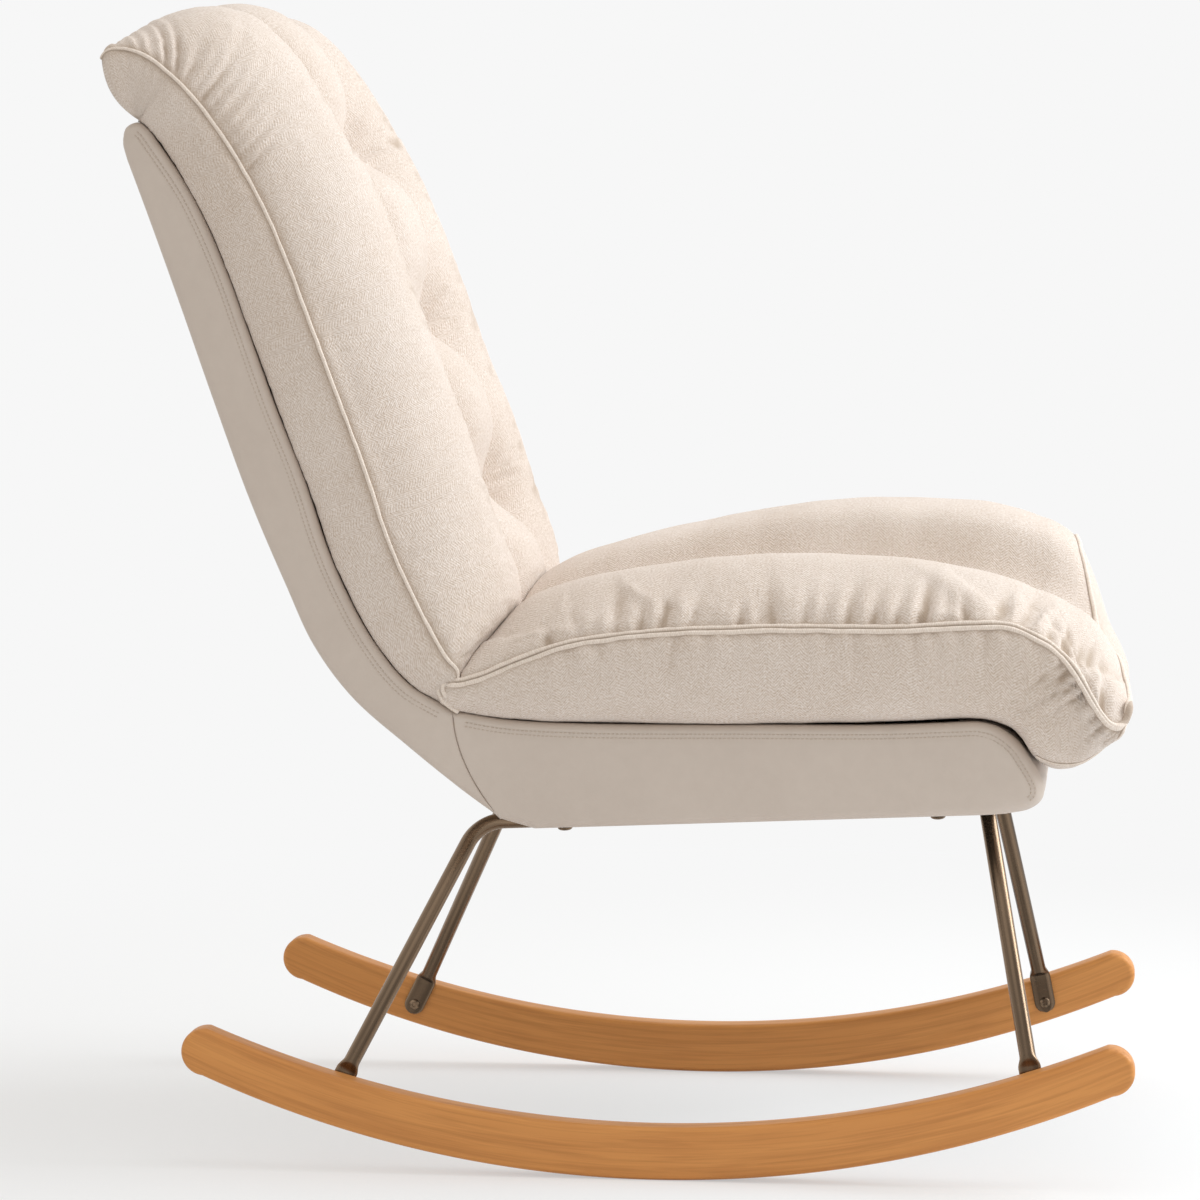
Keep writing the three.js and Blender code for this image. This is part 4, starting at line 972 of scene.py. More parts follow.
def stitches(name, lines, sign):
    """Short thread beads end to end along lines of (y, z) at the panel's face: each bead is a
    stretched hexagonal lens."""
    patches = []
    angle = np.linspace(0, TAU, 7)[:-1]
    along = np.array([-1, -0.6, 0.6, 1.0]) * STITCH_LENGTH / 2
    fat = np.array([0, 1, 1, 0])[:, None]
    across = fat * np.cos(angle) * STITCH_RADIUS
    out = fat * np.sin(angle) * STITCH_RADIUS
    for line, x in lines:
        total = walked(line)[-1]
        count = int(total / STITCH_PITCH)
        spots = (np.arange(count) + 0.5) * total / count
        centre = at_lengths(line, spots)
        ahead = unit(at_lengths(line, spots + 0.5 * MM) - centre)
        aside = np.stack([-ahead[:, 1], ahead[:, 0]], -1)
        plane = (centre[:, None, None] + along[None, :, None, None] * ahead[:, None, None]
                 + across[None, :, :, None] * aside[:, None, None])
        beads = side_points(plane, x + sign * out[None] + np.zeros((count, 1, 1)))
        patches += [(bead, True, {}) for bead in beads]
    placed(build(name, patches, THREAD), "shell_leatherette")


def offset_line(line, distance):
    """A side-plane line moved to its left."""
    return line + distance * leftward(line)


def shell_sides():
    """Each side: a back panel and a seat panel that meet at a bowed seam, with two rows of
    stitching inside the cushion edge."""
    edges = {
        "back": (chained(REAR, CREST[:CREST_MIDDLE]),
                 chained(FRONT_OF_BACK[::-1], CREST[CREST_MIDDLE - 1:][::-1])),
        "seat": (chained(CORNER[::-1], UNDERSIDE[::-1], NOSE[NOSE_MIDDLE:][::-1]),
                 chained(SEAT_EDGE, NOSE[:NOSE_MIDDLE + 1])),
    }
    stitch_lines = chained(CREST[-6:], FRONT_OF_BACK[:-4]), chained(SEAT_EDGE[4:], NOSE[:76])
    for side, sign in SIDES:
        for part, (outer, inner) in edges.items():
            side_panel(f"{part}_side_panel_{side}", outer, inner, f"{part}_side_cover_{side}", sign)
        stitches(f"side_stitching_{side}", [
            (offset_line(line, offset), sign * (SHELL_OUTER - rolled(offset, SHELL_ROUND) - STITCH_SINK))
            for offset in STITCH_OFFSETS for line in stitch_lines], sign)


shell_sides()


# Shell: covers between the sides

def cross_cover(name, line, node_name, puff, stitched):
    """A skin across the chair over a side-plane line: it swells between the side seams, turns in at
    them, and dips under its stitching."""
    half = COVER_INNER - COVER_PLAY
    rim = SEAM_ROUND * (1 - np.sin(np.linspace(0, TAU / 4, 6)))[::-1]
    inner = np.linspace(rim[-1], 2 * half - rim[-1], 70)[1:-1]
    place = np.concatenate([rim, inner, 2 * half - rim[::-1]]) - half
    offsets = STITCH_OFFSETS if stitched else ()
    near_stitches = [side * (half - offset) + np.linspace(-2, 2, 7) * MM
                     for offset in offsets for side in (-1, 1)]
    place = np.unique(np.concatenate([place, *near_stitches]))
    edge = half - np.abs(place)
    lift = puff * smooth_step(edge / COVER_SWELL_FROM_SIDE) - rolled(edge, SEAM_ROUND)
    for offset in offsets:
        lift -= COVER_STITCH_DIP * bell(edge - offset, COVER_STITCH_DIP_WIDTH)
    ends = np.minimum(walked(line), walked(line)[-1] - walked(line))
    rise = np.where(lift > 0, lift * smooth_step(ends / COVER_SWELL_FROM_END)[:, None], lift)
    plane = line[:, None] - (rise - COVER_SINK)[..., None] * leftward(line)[:, None]
    grid = side_points(plane, place[None, :] + np.zeros((len(line), 1)))
    piece = build(name, [(grid[:, ::-1], False, {})], LEATHER, closed_normals=False)
    wall_it(piece)
    placed(piece, "shell_leatherette", node_name)


cross_cover("back_panel_cover", chained(CORNER, REAR, CREST), "back_cover", 2.5 * MM, True)
cross_cover("front_edge_cover", NOSE[2:], "front_cover", 1.0 * MM, False)


# Cushions

def half_sections(shares, width, middle, channel, roll, seam, low):
    """Control points (across, level) of half sections, from the middle of the face over the channel
    and roll, round the seam and under. All values are arrays over the stations."""
    shoulder, drop = shares["shoulder"]

    def between(a, b, share):
        """The value at a share of the way from a to b."""
        return a + (b - a) * share

    points = [
        (0 * width, middle),
        (shoulder * width, between(middle, channel, drop)),
        (shares["channel"] * width, channel),
        (shares["roll"] * width, roll),
        (BRIM_SHARE[0] * width, between(seam, roll, BRIM_SHARE[1])),
        (width, seam),
        *((place * width, between(low, seam, way)) for place, way in UNDER_SHARES),
        (0 * width, low),
    ]
    return np.stack([np.stack(p, -1) for p in points], axis=-2)


def crowd_ends(share):
    """Spacing that is a little closer near the side seam."""
    return 1 - (1 - share) ** 1.3


def section_rings(control, per=14):
    """Rings of even count from half sections: the smooth ring through both halves is split at the
    seam, and each part is resampled, closer near the seam."""
    flip = np.array([-1.0, 1.0])
    curve = catmull(np.concatenate([control, control[:, 1:-1][:, ::-1] * flip], axis=1), per, closed=True)
    top_end = SEAM_CONTROL * per
    low_end = (control.shape[1] - 1) * per
    rings = []
    for line in curve:
        top = resampled(line[:top_end + 1], HALF_COLUMNS + 1, crowd_ends)
        under = resampled(line[top_end:low_end + 1][::-1], HALF_COLUMNS + 1, crowd_ends)[::-1]
        half = np.concatenate([top, under[1:]])
        rings.append(np.concatenate([half, half[1:-1][::-1] * flip]))
    return np.array(rings)


def even_rows(table, measure):
    """A smooth table resampled so that the lines that measure returns are walked in even steps."""
    dense = catmull_table(table)
    lengths = np.mean([walked(line) for line in measure(dense)], axis=0)
    count = 2 * int(lengths[-1] / CLOTH_STEP / 2) + 1
    spots = np.linspace(0, lengths[-1], count)
    return np.stack([np.interp(spots, lengths, dense[:, k]) for k in range(dense.shape[1])], -1)


def catmull_table(table, per=30):
    """Rows between the rows of a table, by uniform Catmull-Rom."""
    t = np.asarray(table, float)
    t = np.concatenate([2 * t[:1] - t[1:2], t, 2 * t[-1:] - t[-2:-1]])
    p0, p1, p2, p3 = (t[k:k + len(t) - 3, None] for k in range(4))
    s = np.linspace(0, 1, per, endpoint=False)[:, None]
    rows = 0.5 * (2 * p1 + (p2 - p0) * s + (2 * p0 - 5 * p1 + 4 * p2 - p3) * s ** 2
                  + (3 * p1 - p0 - 3 * p2 + p3) * s ** 3)
    return np.concatenate([rows.reshape(-1, t.shape[1]), t[-2:-1]])


def seat_grid():
    """Seat cushion: sections across the chair at places along its length."""
    floor = SHELL_LOW.z + SEAT_EDGE_SHARES[4][1] * SHELL_HEIGHT

    def places(rows):
        """Where sections stand along the chair: shares of the cushion's length from its rear end."""
        return SEAT_EDGE[0, 0] + SEAT_TUCK - rows[:, 0] * SEAT_LENGTH

    rows = even_rows(SEAT_SHARES, lambda dense: [
        np.stack([places(dense), dense[:, k] * SEAT_HEIGHT], -1) for k in (1, 3)])
    base, seam, roll, middle = (floor + rows[:, k] * SEAT_HEIGHT for k in (1, 2, 3, 4))
    fade = np.clip((rows[:, 3] - rows[:, 2]) / SEAT_CHANNEL_FADE, 0, 1)
    full = np.clip((roll - seam) / FULL_THICKNESS, 0, 1)
    rings = section_rings(half_sections(
        SEAT_SECTION, rows[:, 5] * SEAT_WIDTH / 2, middle, roll - SEAT_CHANNEL * fade, roll, seam,
        base - CUSHION_SINK * full))
    return np.stack([rings[..., 0], np.broadcast_to(places(rows)[:, None], rings.shape[:2]),
                     rings[..., 1]], -1)


def back_grid():
    """Back cushion: tilted sections up the shell's front edge, then a fan over its crest. Returns
    the grid and the rows in which the tufts lie."""
    edge = FRONT_OF_BACK[::-1]
    length = walked(edge)[-1]
    table = [(*at_lengths(edge, along * length), *row) for along, *row in BACK_SHARES]
    crown = SHELL_LOW.y + CREST_SHARES[3][0] * SHELL_DEPTH, SHELL_LOW.z + SHELL_HEIGHT
    table += [(*crown, *row) for row in CREST_FAN_SHARES]

    def standing(rows, k):
        """Points that stand off the shell's edge by column k of the table, along each row's tilt."""
        tilt = np.radians(rows[:, 2])
        out = np.stack([np.cos(tilt), np.sin(tilt)], -1)
        return rows[:, :2] + out * (rows[:, k] * BACK_THICKNESS)[:, None]

    rows = even_rows(table, lambda dense: [standing(dense, k) for k in (3, 4)])
    crest = standing(rows, 4)
    gone = walked(crest)
    falling = gone >= gone[np.argmax(crest[:, 1])]
    tuft_rows = [int(np.argmin(np.abs(crest[:, 1] - level) + falling)) for level in TUFT_LEVELS]
    tuft = np.max([bell(gone - gone[row], TUFT_REACH) for row in tuft_rows], axis=0)
    seam, roll, middle = (rows[:, k] * BACK_THICKNESS for k in (3, 4, 5))
    full = np.clip((roll - seam) / FULL_THICKNESS, 0, 1)
    channel = np.minimum(roll, middle) - (BACK_CHANNEL * rows[:, 4] + TUFT_DEPTH * tuft) * full
    foot = 1 - smooth_step(np.arange(len(rows)) / BACK_FOOT_ROWS)
    low = -CUSHION_SINK * full + foot * (1 - full) * seam * 0.5
    swell = TUFT_MIDDLE_RISE * smooth_step(gone / TUFT_MIDDLE_RUN) * full
    rings = section_rings(half_sections(
        BACK_SECTION, rows[:, 6] * BACK_WIDTH / 2, middle + swell - TUFT_MIDDLE_DIP * tuft * full,
        channel, roll, seam, low))
    tilt = np.radians(rows[:, 2])[:, None]
    return np.stack([rings[..., 0], rows[:, :1] + np.cos(tilt) * rings[..., 1],
                     rows[:, 1:2] + np.sin(tilt) * rings[..., 1]], -1), tuft_rows


def grid_normals(grid):
    """Unit normals of a grid with closed columns: down its rows crossed with round its columns,
    turned to point away from the middle of each ring."""
    down = np.gradient(grid, axis=0)
    around = np.roll(grid, -1, axis=1) - np.roll(grid, 1, axis=1)
    normal = unit(np.cross(around, down))
    outward = (normal * (grid - grid.mean(axis=1, keepdims=True))).sum()
    return normal * np.sign(outward)


def seam_distance(grid):
    """Signed lengths round each ring from the nearer side seam: above 0 on the face, below under.
    Also the lengths from the middle of the face, and each ring's whole length."""
    step = np.linalg.norm(np.roll(grid, -1, axis=1) - grid, axis=-1)
    around = np.concatenate([np.zeros((len(grid), 1)), np.cumsum(step, axis=1)[:, :-1]], axis=1)
    left = around - around[:, LEFT_SEAM:LEFT_SEAM + 1]
    right = around[:, RIGHT_SEAM:RIGHT_SEAM + 1] - around
    return np.where(RIGHT_HALF, -right, -left), around, step.sum(axis=1, keepdims=True)


def seam_places(grid):
    """For each point: the signed length from its side seam, and its row's length along the seam."""
    signed = seam_distance(grid)[0]
    return signed, np.broadcast_to(walked(grid[:, LEFT_SEAM])[:, None], signed.shape)


def blur_filter(shape, rows, columns):
    """What is left of each wave of a grid by a Gaussian blur of so many rows and columns."""
    down = np.fft.fftfreq(shape[0])[:, None]
    across = np.fft.fftfreq(shape[1])[None, :]
    return np.exp(-2 * math.pi ** 2 * ((down * rows) ** 2 + (across * columns) ** 2))


def soft_noise(shape, rows, columns, seed):
    """Smooth noise of unit spread: white noise blurred by Gaussians of so many rows and columns."""
    white = np.random.default_rng(seed).standard_normal(shape)
    blurred = np.fft.ifft2(np.fft.fft2(white) * blur_filter(shape, rows, columns)).real
    return blurred / blurred.std()


def gathers(along, away, seed, start, end, pitch, depth, length, slant, lean):
    """Seeded creases that run away from a stretch of seam: each is a valley across its own line,
    held at the seam, deepest just off it, and gone at its length."""
    rng = np.random.default_rng(seed)
    count = int((end - start) / pitch)
    spots = start + (np.arange(count) + 0.5 + rng.uniform(-0.27, 0.27, count)) * (end - start) / count
    depths = depth * rng.uniform(0.55, 1.25, count)
    lengths = length * rng.uniform(0.55, 1.3, count)
    widths = pitch * rng.uniform(0.24, 0.36, count)
    slants = rng.normal(lean, slant, count)
    total = np.zeros_like(along)
    reach = np.clip(away, 0, None)
    for spot, deep, long, wide, turn in zip(spots, depths, lengths, widths, slants):
        line = (along - spot - turn * reach) / wide
        shape = (1 - 0.5 * line ** 2) * np.exp(-0.5 * line ** 2)
        rise = (1 - np.exp(-reach / CREASE_HOLD)) * bell(reach, long)
        total -= deep * shape * rise * (away > 0)
    return total


def creased(signed, along, stretches, seeds):
    """All gathers of a cushion, with a seed for each half. A stretch gives its side of the seam (1
    face, -1 under), start, end, pitch, depth, length, spread of the slants, and lean."""
    field = np.zeros_like(signed)
    for half, seed in zip((~RIGHT_HALF, RIGHT_HALF), seeds):
        total = np.zeros_like(signed)
        for k, (side, *sizes) in enumerate(stretches):
            total += gathers(along, side * signed, seed + 10 * k, *sizes)
        field += np.where(half, total, 0)
    return field


def end_fade(grid):
    """0 at a grid's first and last row, rising to 1 over a few rows."""
    rows = np.arange(len(grid))
    return smooth_step(np.minimum(rows, rows[::-1])[:, None] / END_ROWS)


def raised(grid, field, folds):
    """The grid moved out by a field and by folds, and how far each point rose in all."""
    normals = grid_normals(grid)
    return grid + field[..., None] * normals + folds, field + (folds * normals).sum(-1)


def level_shares(ring):
    """For each point of a ring: 1 at the seams' level, falling to 0 at the underside's level."""
    seam, low = ring[LEFT_SEAM, 1:], ring[UNDER_MIDDLE, 1:]
    span = low - seam
    return 1 - np.clip((ring[:, 1:] - seam) @ span / max(span @ span, 1e-12), 0, 1)


def end_cap(ring, bulge, steps=14):
    """Closes an end from the ring's face half to its under half. It swells by the sine of the level
    share, like the ring's own under half."""
    share = np.linspace(0, 1, steps)[:, None, None]
    flat = ring[FACE_COLUMNS] * (1 - share) + ring[UNDER_COLUMNS] * share
    low = level_shares(ring)[UNDER_COLUMNS][None, :, None]
    level = 1 - share * (1 - low)
    own = np.sin(math.pi * low) * share
    return flat + (np.sin(math.pi * level) - own) * np.array(bulge)


def swollen_ends(grid, bulges):
    """The under half of the rings near both ends swells with the end caps."""
    grid = grid.copy()
    for step in range(END_SWELL_ROWS):
        for row, bulge in zip((step, len(grid) - 1 - step), bulges):
            weight = smooth_step(1 - step / END_SWELL_ROWS)
            share = np.sin(math.pi * level_shares(grid[row]))[UNDER_COLUMNS, None]
            grid[row, UNDER_COLUMNS] += weight * share * np.array(bulge)
    return grid


def doubled(field, axis, closed):
    """Points between points along an axis by the four-point rule (-1, 9, 9, -1) / 16."""
    values = np.moveaxis(field, axis, 0)
    if closed:
        ahead, behind, beyond = np.roll(values, -1, 0), np.roll(values, 1, 0), np.roll(values, -2, 0)
        between = (9 * (values + ahead) - behind - beyond) / 16
        result = np.stack([values, between], 1).reshape(-1, *values.shape[1:])
    else:
        padded = np.concatenate([2 * values[:1] - values[1:2], values, 2 * values[-1:] - values[-2:-1]])
        between = (9 * (padded[1:-2] + padded[2:-1]) - padded[:-3] - padded[3:]) / 16
        result = np.empty((2 * len(values) - 1, *values.shape[1:]))
        result[::2] = values
        result[1::2] = between
    return np.moveaxis(result, 0, axis)


def weighted_group(piece, name, weights, levels=12):
    """A vertex group from an array of weights, in even levels."""
    group = piece.vertex_groups.new(name=name)
    level = np.rint(np.clip(weights.ravel(), 0, 1) * levels).astype(int)
    for k in range(1, levels + 1):
        members = np.flatnonzero(level == k)
        if len(members):
            group.add(members.tolist(), k / levels, "REPLACE")


def blurred_grid(field):
    """A Gaussian blur of a grid with closed columns, led on backwards past its ends."""
    whole = np.concatenate([field, field[::-1]])
    keep = blur_filter(whole.shape, *FOLD_BLUR)[..., None]
    return np.fft.ifft2(np.fft.fft2(whole, axes=(0, 1)) * keep, axes=(0, 1)).real[:len(field)]


def held_cloth(signed, fade):
    """1 under the seam and at both ends, where the cloth is held, falling to 0 on the face."""
    return np.maximum(smooth_step((CLOTH_HOLD_START - signed) / CLOTH_HOLD_FADE), 1 - fade)


def cloth_folds(grid, held, slack, growth, cap):
    """Folds from a cloth simulation of every second point: the cloth is held at its seams and its
    underside, longer than its place where slack is 1, and blown out by the pressure. What moves as
    broad swelling is taken off again, so the folds alone are returned, as a move of each point."""
    start = grid[::2, ::2]
    mesh = bpy.data.meshes.new("cloth_sheet")
    uneven = start + 0.25 * MM * np.random.default_rng(3).standard_normal(start.shape)
    mesh.from_pydata(uneven.reshape(-1, 3), [], grid_faces(*start.shape[:2], True))
    sheet = added("cloth_sheet", mesh)
    weighted_group(sheet, "held", held[::2, ::2])
    weighted_group(sheet, "slack", slack[::2, ::2])
    cloth = sheet.modifiers.new("cloth", "CLOTH")
    cloth.collision_settings.use_collision = False
    cloth.point_cache.frame_start = 1
    cloth.point_cache.frame_end = CLOTH_FRAMES
    for key, value in {
            "quality": 6, "mass": 0.15, "tension_stiffness": 14, "compression_stiffness": 14,
            "shear_stiffness": 4, "bending_stiffness": 0.06, "vertex_group_mass": "held",
            "vertex_group_shrink": "slack", "shrink_min": 0.0, "shrink_max": -growth,
            "use_pressure": True, "uniform_pressure_force": CLOTH_PRESSURE}.items():
        setattr(cloth.settings, key, value)
    cloth.settings.effector_weights.gravity = 0
    scene = bpy.context.scene
    for frame_number in range(1, CLOTH_FRAMES + 1):
        scene.frame_set(frame_number)
    moved = np.empty(start.size)
    graph = bpy.context.evaluated_depsgraph_get()
    sheet.evaluated_get(graph).data.vertices.foreach_get("co", moved)
    scene.frame_set(1)
    bpy.data.objects.remove(sheet)
    bpy.data.meshes.remove(mesh)
    move = moved.reshape(start.shape) - start
    move -= blurred_grid(move)
    length = np.linalg.norm(move, axis=-1, keepdims=True)
    move *= cap * np.tanh(length / cap) / np.maximum(length, 1e-9)
    return doubled(doubled(move, 0, False), 1, True)


def hollow_shade(lift, signed):
    """Painted shade for the cloth's colour, 0 on the smooth cloth to 1 deep in a crease or beside the seam:
    how far each point's lift lies below that of its blurred neighbourhood."""
    below = blurred_grid(lift[..., None])[..., 0] - lift
    return np.maximum(smooth_step((below - CREASE_START) / CREASE_SHADE),
                      0.85 * bell(signed, SEAM_SHADE_WIDTH))


def cushion_mesh(name, grid, bulges, lift):
    """The closed grid and its two end caps as one mesh, with the cloth's own lengths as coordinates and the
    painted shade of its creases and seams."""
    signed, around, total = seam_distance(grid)
    rows = np.mean([walked(grid[:, k]) for k in (0, LEFT_SEAM // 2, LEFT_SEAM)], axis=0)
    across = np.where(RIGHT_HALF, around - total, around)
    cloth = np.stack([np.broadcast_to(rows[:, None], around.shape), across, around * 0], -1)
    shade = np.repeat(hollow_shade(lift, signed)[..., None], 3, axis=-1)
    patches = [(grid, True, {"cloth": cloth, "shade": shade})]
    for row, bulge in zip((0, -1), bulges):
        cap = end_cap(grid[row], bulge)
        down = np.linspace(0, 1, len(cap))[:, None, None] * np.array([60 * MM, 0, 0])
        patches.append((cap, False, {"cloth": cloth[row, FACE_COLUMNS] + down, "shade": cap * 0}))
    return build(name, patches, FABRIC, weld=2e-5)


def seam_path(grid, front_rows):
    """The side seams and the seam over the front, as one line with outward directions: up one side
    to the tip, over the face along the given rows, and down the other side."""
    low = np.floor(front_rows).astype(int)
    share = (front_rows - low)[:, None]
    high = np.minimum(low + 1, len(grid) - 1)
    over = grid[low, FACE_COLUMNS] * (1 - share) + grid[high, FACE_COLUMNS] * share
    normals = grid_normals(grid)
    return [np.concatenate([values[:-1, LEFT_SEAM], middle, values[:-1, RIGHT_SEAM][::-1]])
            for values, middle in ((grid, over), (normals, normals[low, FACE_COLUMNS]))]


def with_ears(path, out, steps):
    """The path with its two ends led on by short steps, which fold down the rear corners."""
    near, far = (end + np.array(steps) * np.array([np.sign(end[0]), 1.0, 1.0]) for end in (path[0], path[-1]))
    count = len(steps)
    return (np.concatenate([near[::-1], path, far]),
            np.concatenate([np.repeat(out[:1], count, 0), out, np.repeat(out[-1:], count, 0)]))


def smoothed(values, width):
    """A moving Gaussian mean along the first axis, with its ends held."""
    reach = int(3 * width)
    kernel = np.exp(-0.5 * (np.arange(-reach, reach + 1) / width) ** 2)
    kernel /= kernel.sum()
    padded = np.concatenate([np.repeat(values[:1], reach, 0), values, np.repeat(values[-1:], reach, 0)])
    return np.stack([np.convolve(padded[:, k], kernel, "valid") for k in range(values.shape[1])], -1)


def welt(name, path, out, widths, heights, grooves, lift):
    """A sewn cord along a seam. Its section is a flattened ring, or two ridges side by side where the
    groove is 1. Width, height and groove change by tables of (share of the path, value), and the
    cord's middle is lifted off the cloth."""
    length = walked(path)
    count = int(length[-1] / WELT_STEP)
    spots = np.linspace(0, length[-1], count)
    path = smoothed(at_lengths(path, spots), 2.0)
    normal = smoothed(np.stack([np.interp(spots, length, out[:, k]) for k in range(3)], -1), 5.0)
    share = spots / spots[-1]
    width, height, groove = (np.interp(share, *zip(*table)) for table in (widths, heights, grooves))
    puckers = soft_noise((count, 1), 2.2, 0, 5)[:, 0]
    angle = np.linspace(0, TAU, 41)[:-1]
    place = np.cos(angle)
    single = np.sqrt(np.maximum(1 - place ** 2, 0))
    double = np.sqrt(np.maximum(1 - (2 * np.abs(place) - 1) ** 2, 0))
    top = single + groove[:, None] * (0.85 * double + 0.15 * single - single)
    rise = np.where(np.sin(angle) >= 0, top, -single)
    rise = rise * (height * (1 + 0.06 * puckers))[:, None] + lift
    across = place[None] * (width * (1 + 0.05 * np.roll(puckers, 9)))[:, None] / 2
    grid = swept(path, normal, np.stack([across, rise], -1))
    cloth = np.stack(np.broadcast_arrays(spots[:, None], 12 * MM * angle / TAU, 0.0), -1)
    # Painted shade: the cord is darkened on its underside, where it meets the cloth, and down the groove
    # between its two ridges.
    foot = np.where(np.sin(angle) < 0.25, 0.9, 0.0)
    shade = np.maximum(foot, groove[:, None] * bell(place, 0.16))
    shade = np.repeat(shade[..., None], 3, axis=-1)
    patches = [(grid, True, {"cloth": cloth, "shade": shade})]
    patches += [(to_middle(grid[k]), True, {"cloth": cloth[[k, k]], "shade": shade[[k, k]]})
                for k in (0, -1)]
    placed(build(name, patches, CORD_FABRIC), "cushion_fabric")


def under_seam(name, grid, sign):
    """The flat seam that leaves the front tip and runs back down along the cushion's bottom edge."""
    share = np.linspace(0, 1, 60)
    row = (len(grid) - 6) - UNDER_SEAM_ROWS * share
    column = LEFT_SEAM + UNDER_SEAM_COLUMNS * (1 - (1 - share) ** 2.2)
    column = column if grid[0, LEFT_SEAM, 0] * sign > 0 else COLUMNS - column
    path, out = (between_points(values, row, column) for values in (grid, grid_normals(grid)))
    welt(name, path, out, [(0, 6 * MM), (1, 5 * MM)], [(0, 2.2 * MM), (1, 1.6 * MM)], [(0, 1), (1, 1)],
         0.5 * MM)


def between_points(values, row, column):
    """Bilinear reading of a grid at fractional rows and columns."""
    low_row, low_column = np.floor(row).astype(int), np.floor(column).astype(int)
    down, across = (row - low_row)[:, None], (column - low_column)[:, None]
    near, far = (values[k, low_column] * (1 - across) + values[k, low_column + 1] * across
                 for k in (low_row, np.minimum(low_row + 1, len(values) - 1)))
    return near * (1 - down) + far * down


def seat_cushion():
    """The seat's smooth form, its gathers beside the welt, soft dents, and the corded seam. The far
    roll's front stands back a little."""
    bulges = ((0, 8 * MM, -1 * MM), (0, 0, 0))
    grid = swollen_ends(seat_grid(), bulges)
    front = smooth_step((CENTRE_Y - FAR_ROLL_START - grid[..., 1]) / FAR_ROLL_RUN)
    grid[..., 1] += FAR_ROLL_BACK * front * smooth_step((grid[..., 0] + 10 * MM) / FAR_ROLL_SIDE)
    signed, along = seam_places(grid)
    reach = along[-1, 0]
    field = creased(signed, along, (
        (1, 0.10, 0.48, 22 * MM, 4.6 * MM, 42 * MM, 0.12, 0.0),
        (1, 0.46, 0.68, 22 * MM, 6.2 * MM, 50 * MM, 0.12, 0.0),
        (-1, 0.12, 0.62, 24 * MM, 2.4 * MM, 30 * MM, 0.12, 0.0),
        (-1, 0.60, reach, 11 * MM, 5.0 * MM, 55 * MM, 0.1, -0.85),
        (1, 0.62, reach - 0.05, 15 * MM, 3.0 * MM, 60 * MM, 0.12, -1.2),
    ), (11, 12))
    field -= SEAT_SEAM_PINCH * np.exp(-np.abs(signed) / SEAT_PINCH_WIDTH)
    field += 1.1 * MM * soft_noise(signed.shape, 14, 11, 7) * smooth_step(np.abs(signed) / DENT_FADE)
    field += 0.45 * MM * soft_noise(signed.shape, 5, 4, 8)
    fade = end_fade(grid)
    folds = 0
    slack = bell(signed, 45 * MM) * np.interp(along, [0, 0.4, 0.55], [0.7, 0.8, 1.0])
    near_seam = bell(np.abs(signed), 95 * MM, 4)
    folds = cloth_folds(grid, held_cloth(signed, fade), slack, 0.028, 4 * MM)
    folds *= (fade * near_seam)[..., None]
    grid, lift = raised(grid, field * fade, folds)
    columns = np.abs(np.linspace(-1, 1, 2 * HALF_COLUMNS + 1))
    rise = np.interp(columns, [0, 0.12, 0.42, 0.62, 0.85, 1.0], [1.0, 0.93, 0.42, 0.16, 0.03, 0.0])
    last = len(grid) - 1
    top_row = np.argmin(np.abs(grid[:, 0, 1] - (CENTRE_Y - SEAT_TOP_SEAM)))
    path, out = with_ears(*seam_path(grid, last - rise * (last - top_row)), [
        (1 * MM, 4 * MM, 2 * MM), (2 * MM, 7 * MM, -4 * MM), (1 * MM, 4 * MM, -13 * MM),
        (-2 * MM, -3 * MM, -21 * MM), (-6 * MM, -11 * MM, -27 * MM)])
    widths = [(0, 10 * MM), (0.30, 11 * MM), (0.335, 8 * MM), (0.40, 6 * MM), (0.60, 6 * MM),
              (0.665, 8 * MM), (0.70, 11 * MM), (1, 10 * MM)]
    heights = [(0, 3.0 * MM), (0.30, 3.6 * MM), (0.36, 3.8 * MM), (0.42, 2.8 * MM), (0.58, 2.8 * MM),
               (0.64, 3.8 * MM), (0.70, 3.6 * MM), (1, 3.0 * MM)]
    grooves = [(0, 1), (0.31, 1), (0.35, 0), (0.65, 0), (0.69, 1), (1, 1)]
    piece = cushion_mesh("seat_cushion_cover", grid, bulges, lift)
    placed(piece, "cushion_fabric", "seat_cushion")
    welt("seat_welt", path, out, widths, heights, grooves, 0.4 * MM)
    for side, sign in SIDES:
        under_seam(f"seat_under_seam_{side}", grid, sign)
    return piece


def tuft_fields(grid, tuft_rows):
    """The dip and the star of folds of each tuft, and how near each point is to one, closely and
    widely. The star lies in a ring between two bells."""
    dip = np.zeros(grid.shape[:2])
    close, wide = dip.copy(), dip.copy()
    half_way = np.abs(grid[len(grid) // 2, :LEFT_SEAM, 0])
    column = int(np.argmin(np.abs(half_way - BACK_SECTION["channel"] * BACK_WIDTH / 2)))
    for row in tuft_rows:
        for spot in (column, COLUMNS - column):
            away = grid - grid[row, spot]
            distance = np.linalg.norm(away, axis=-1)
            angle = np.arctan2(np.sign(spot - COLUMNS / 2) * -away[..., 0],
                               np.where(np.arange(len(grid)) < row, -1, 1)[:, None] * distance)
            close = np.maximum(close, bell(distance, TUFT_CLOSE))
            wide = np.maximum(wide, bell(distance, TUFT_WIDE))
            star = bell(distance, STAR_OUTER) - bell(distance, STAR_INNER)
            dip += STAR_DEPTH * star * (0.5 + 0.5 * np.cos(STAR_FOLDS * angle + row))
            dip += BUTTON_DEPTH * bell(distance, BUTTON_WIDTH)
    return dip, close, wide


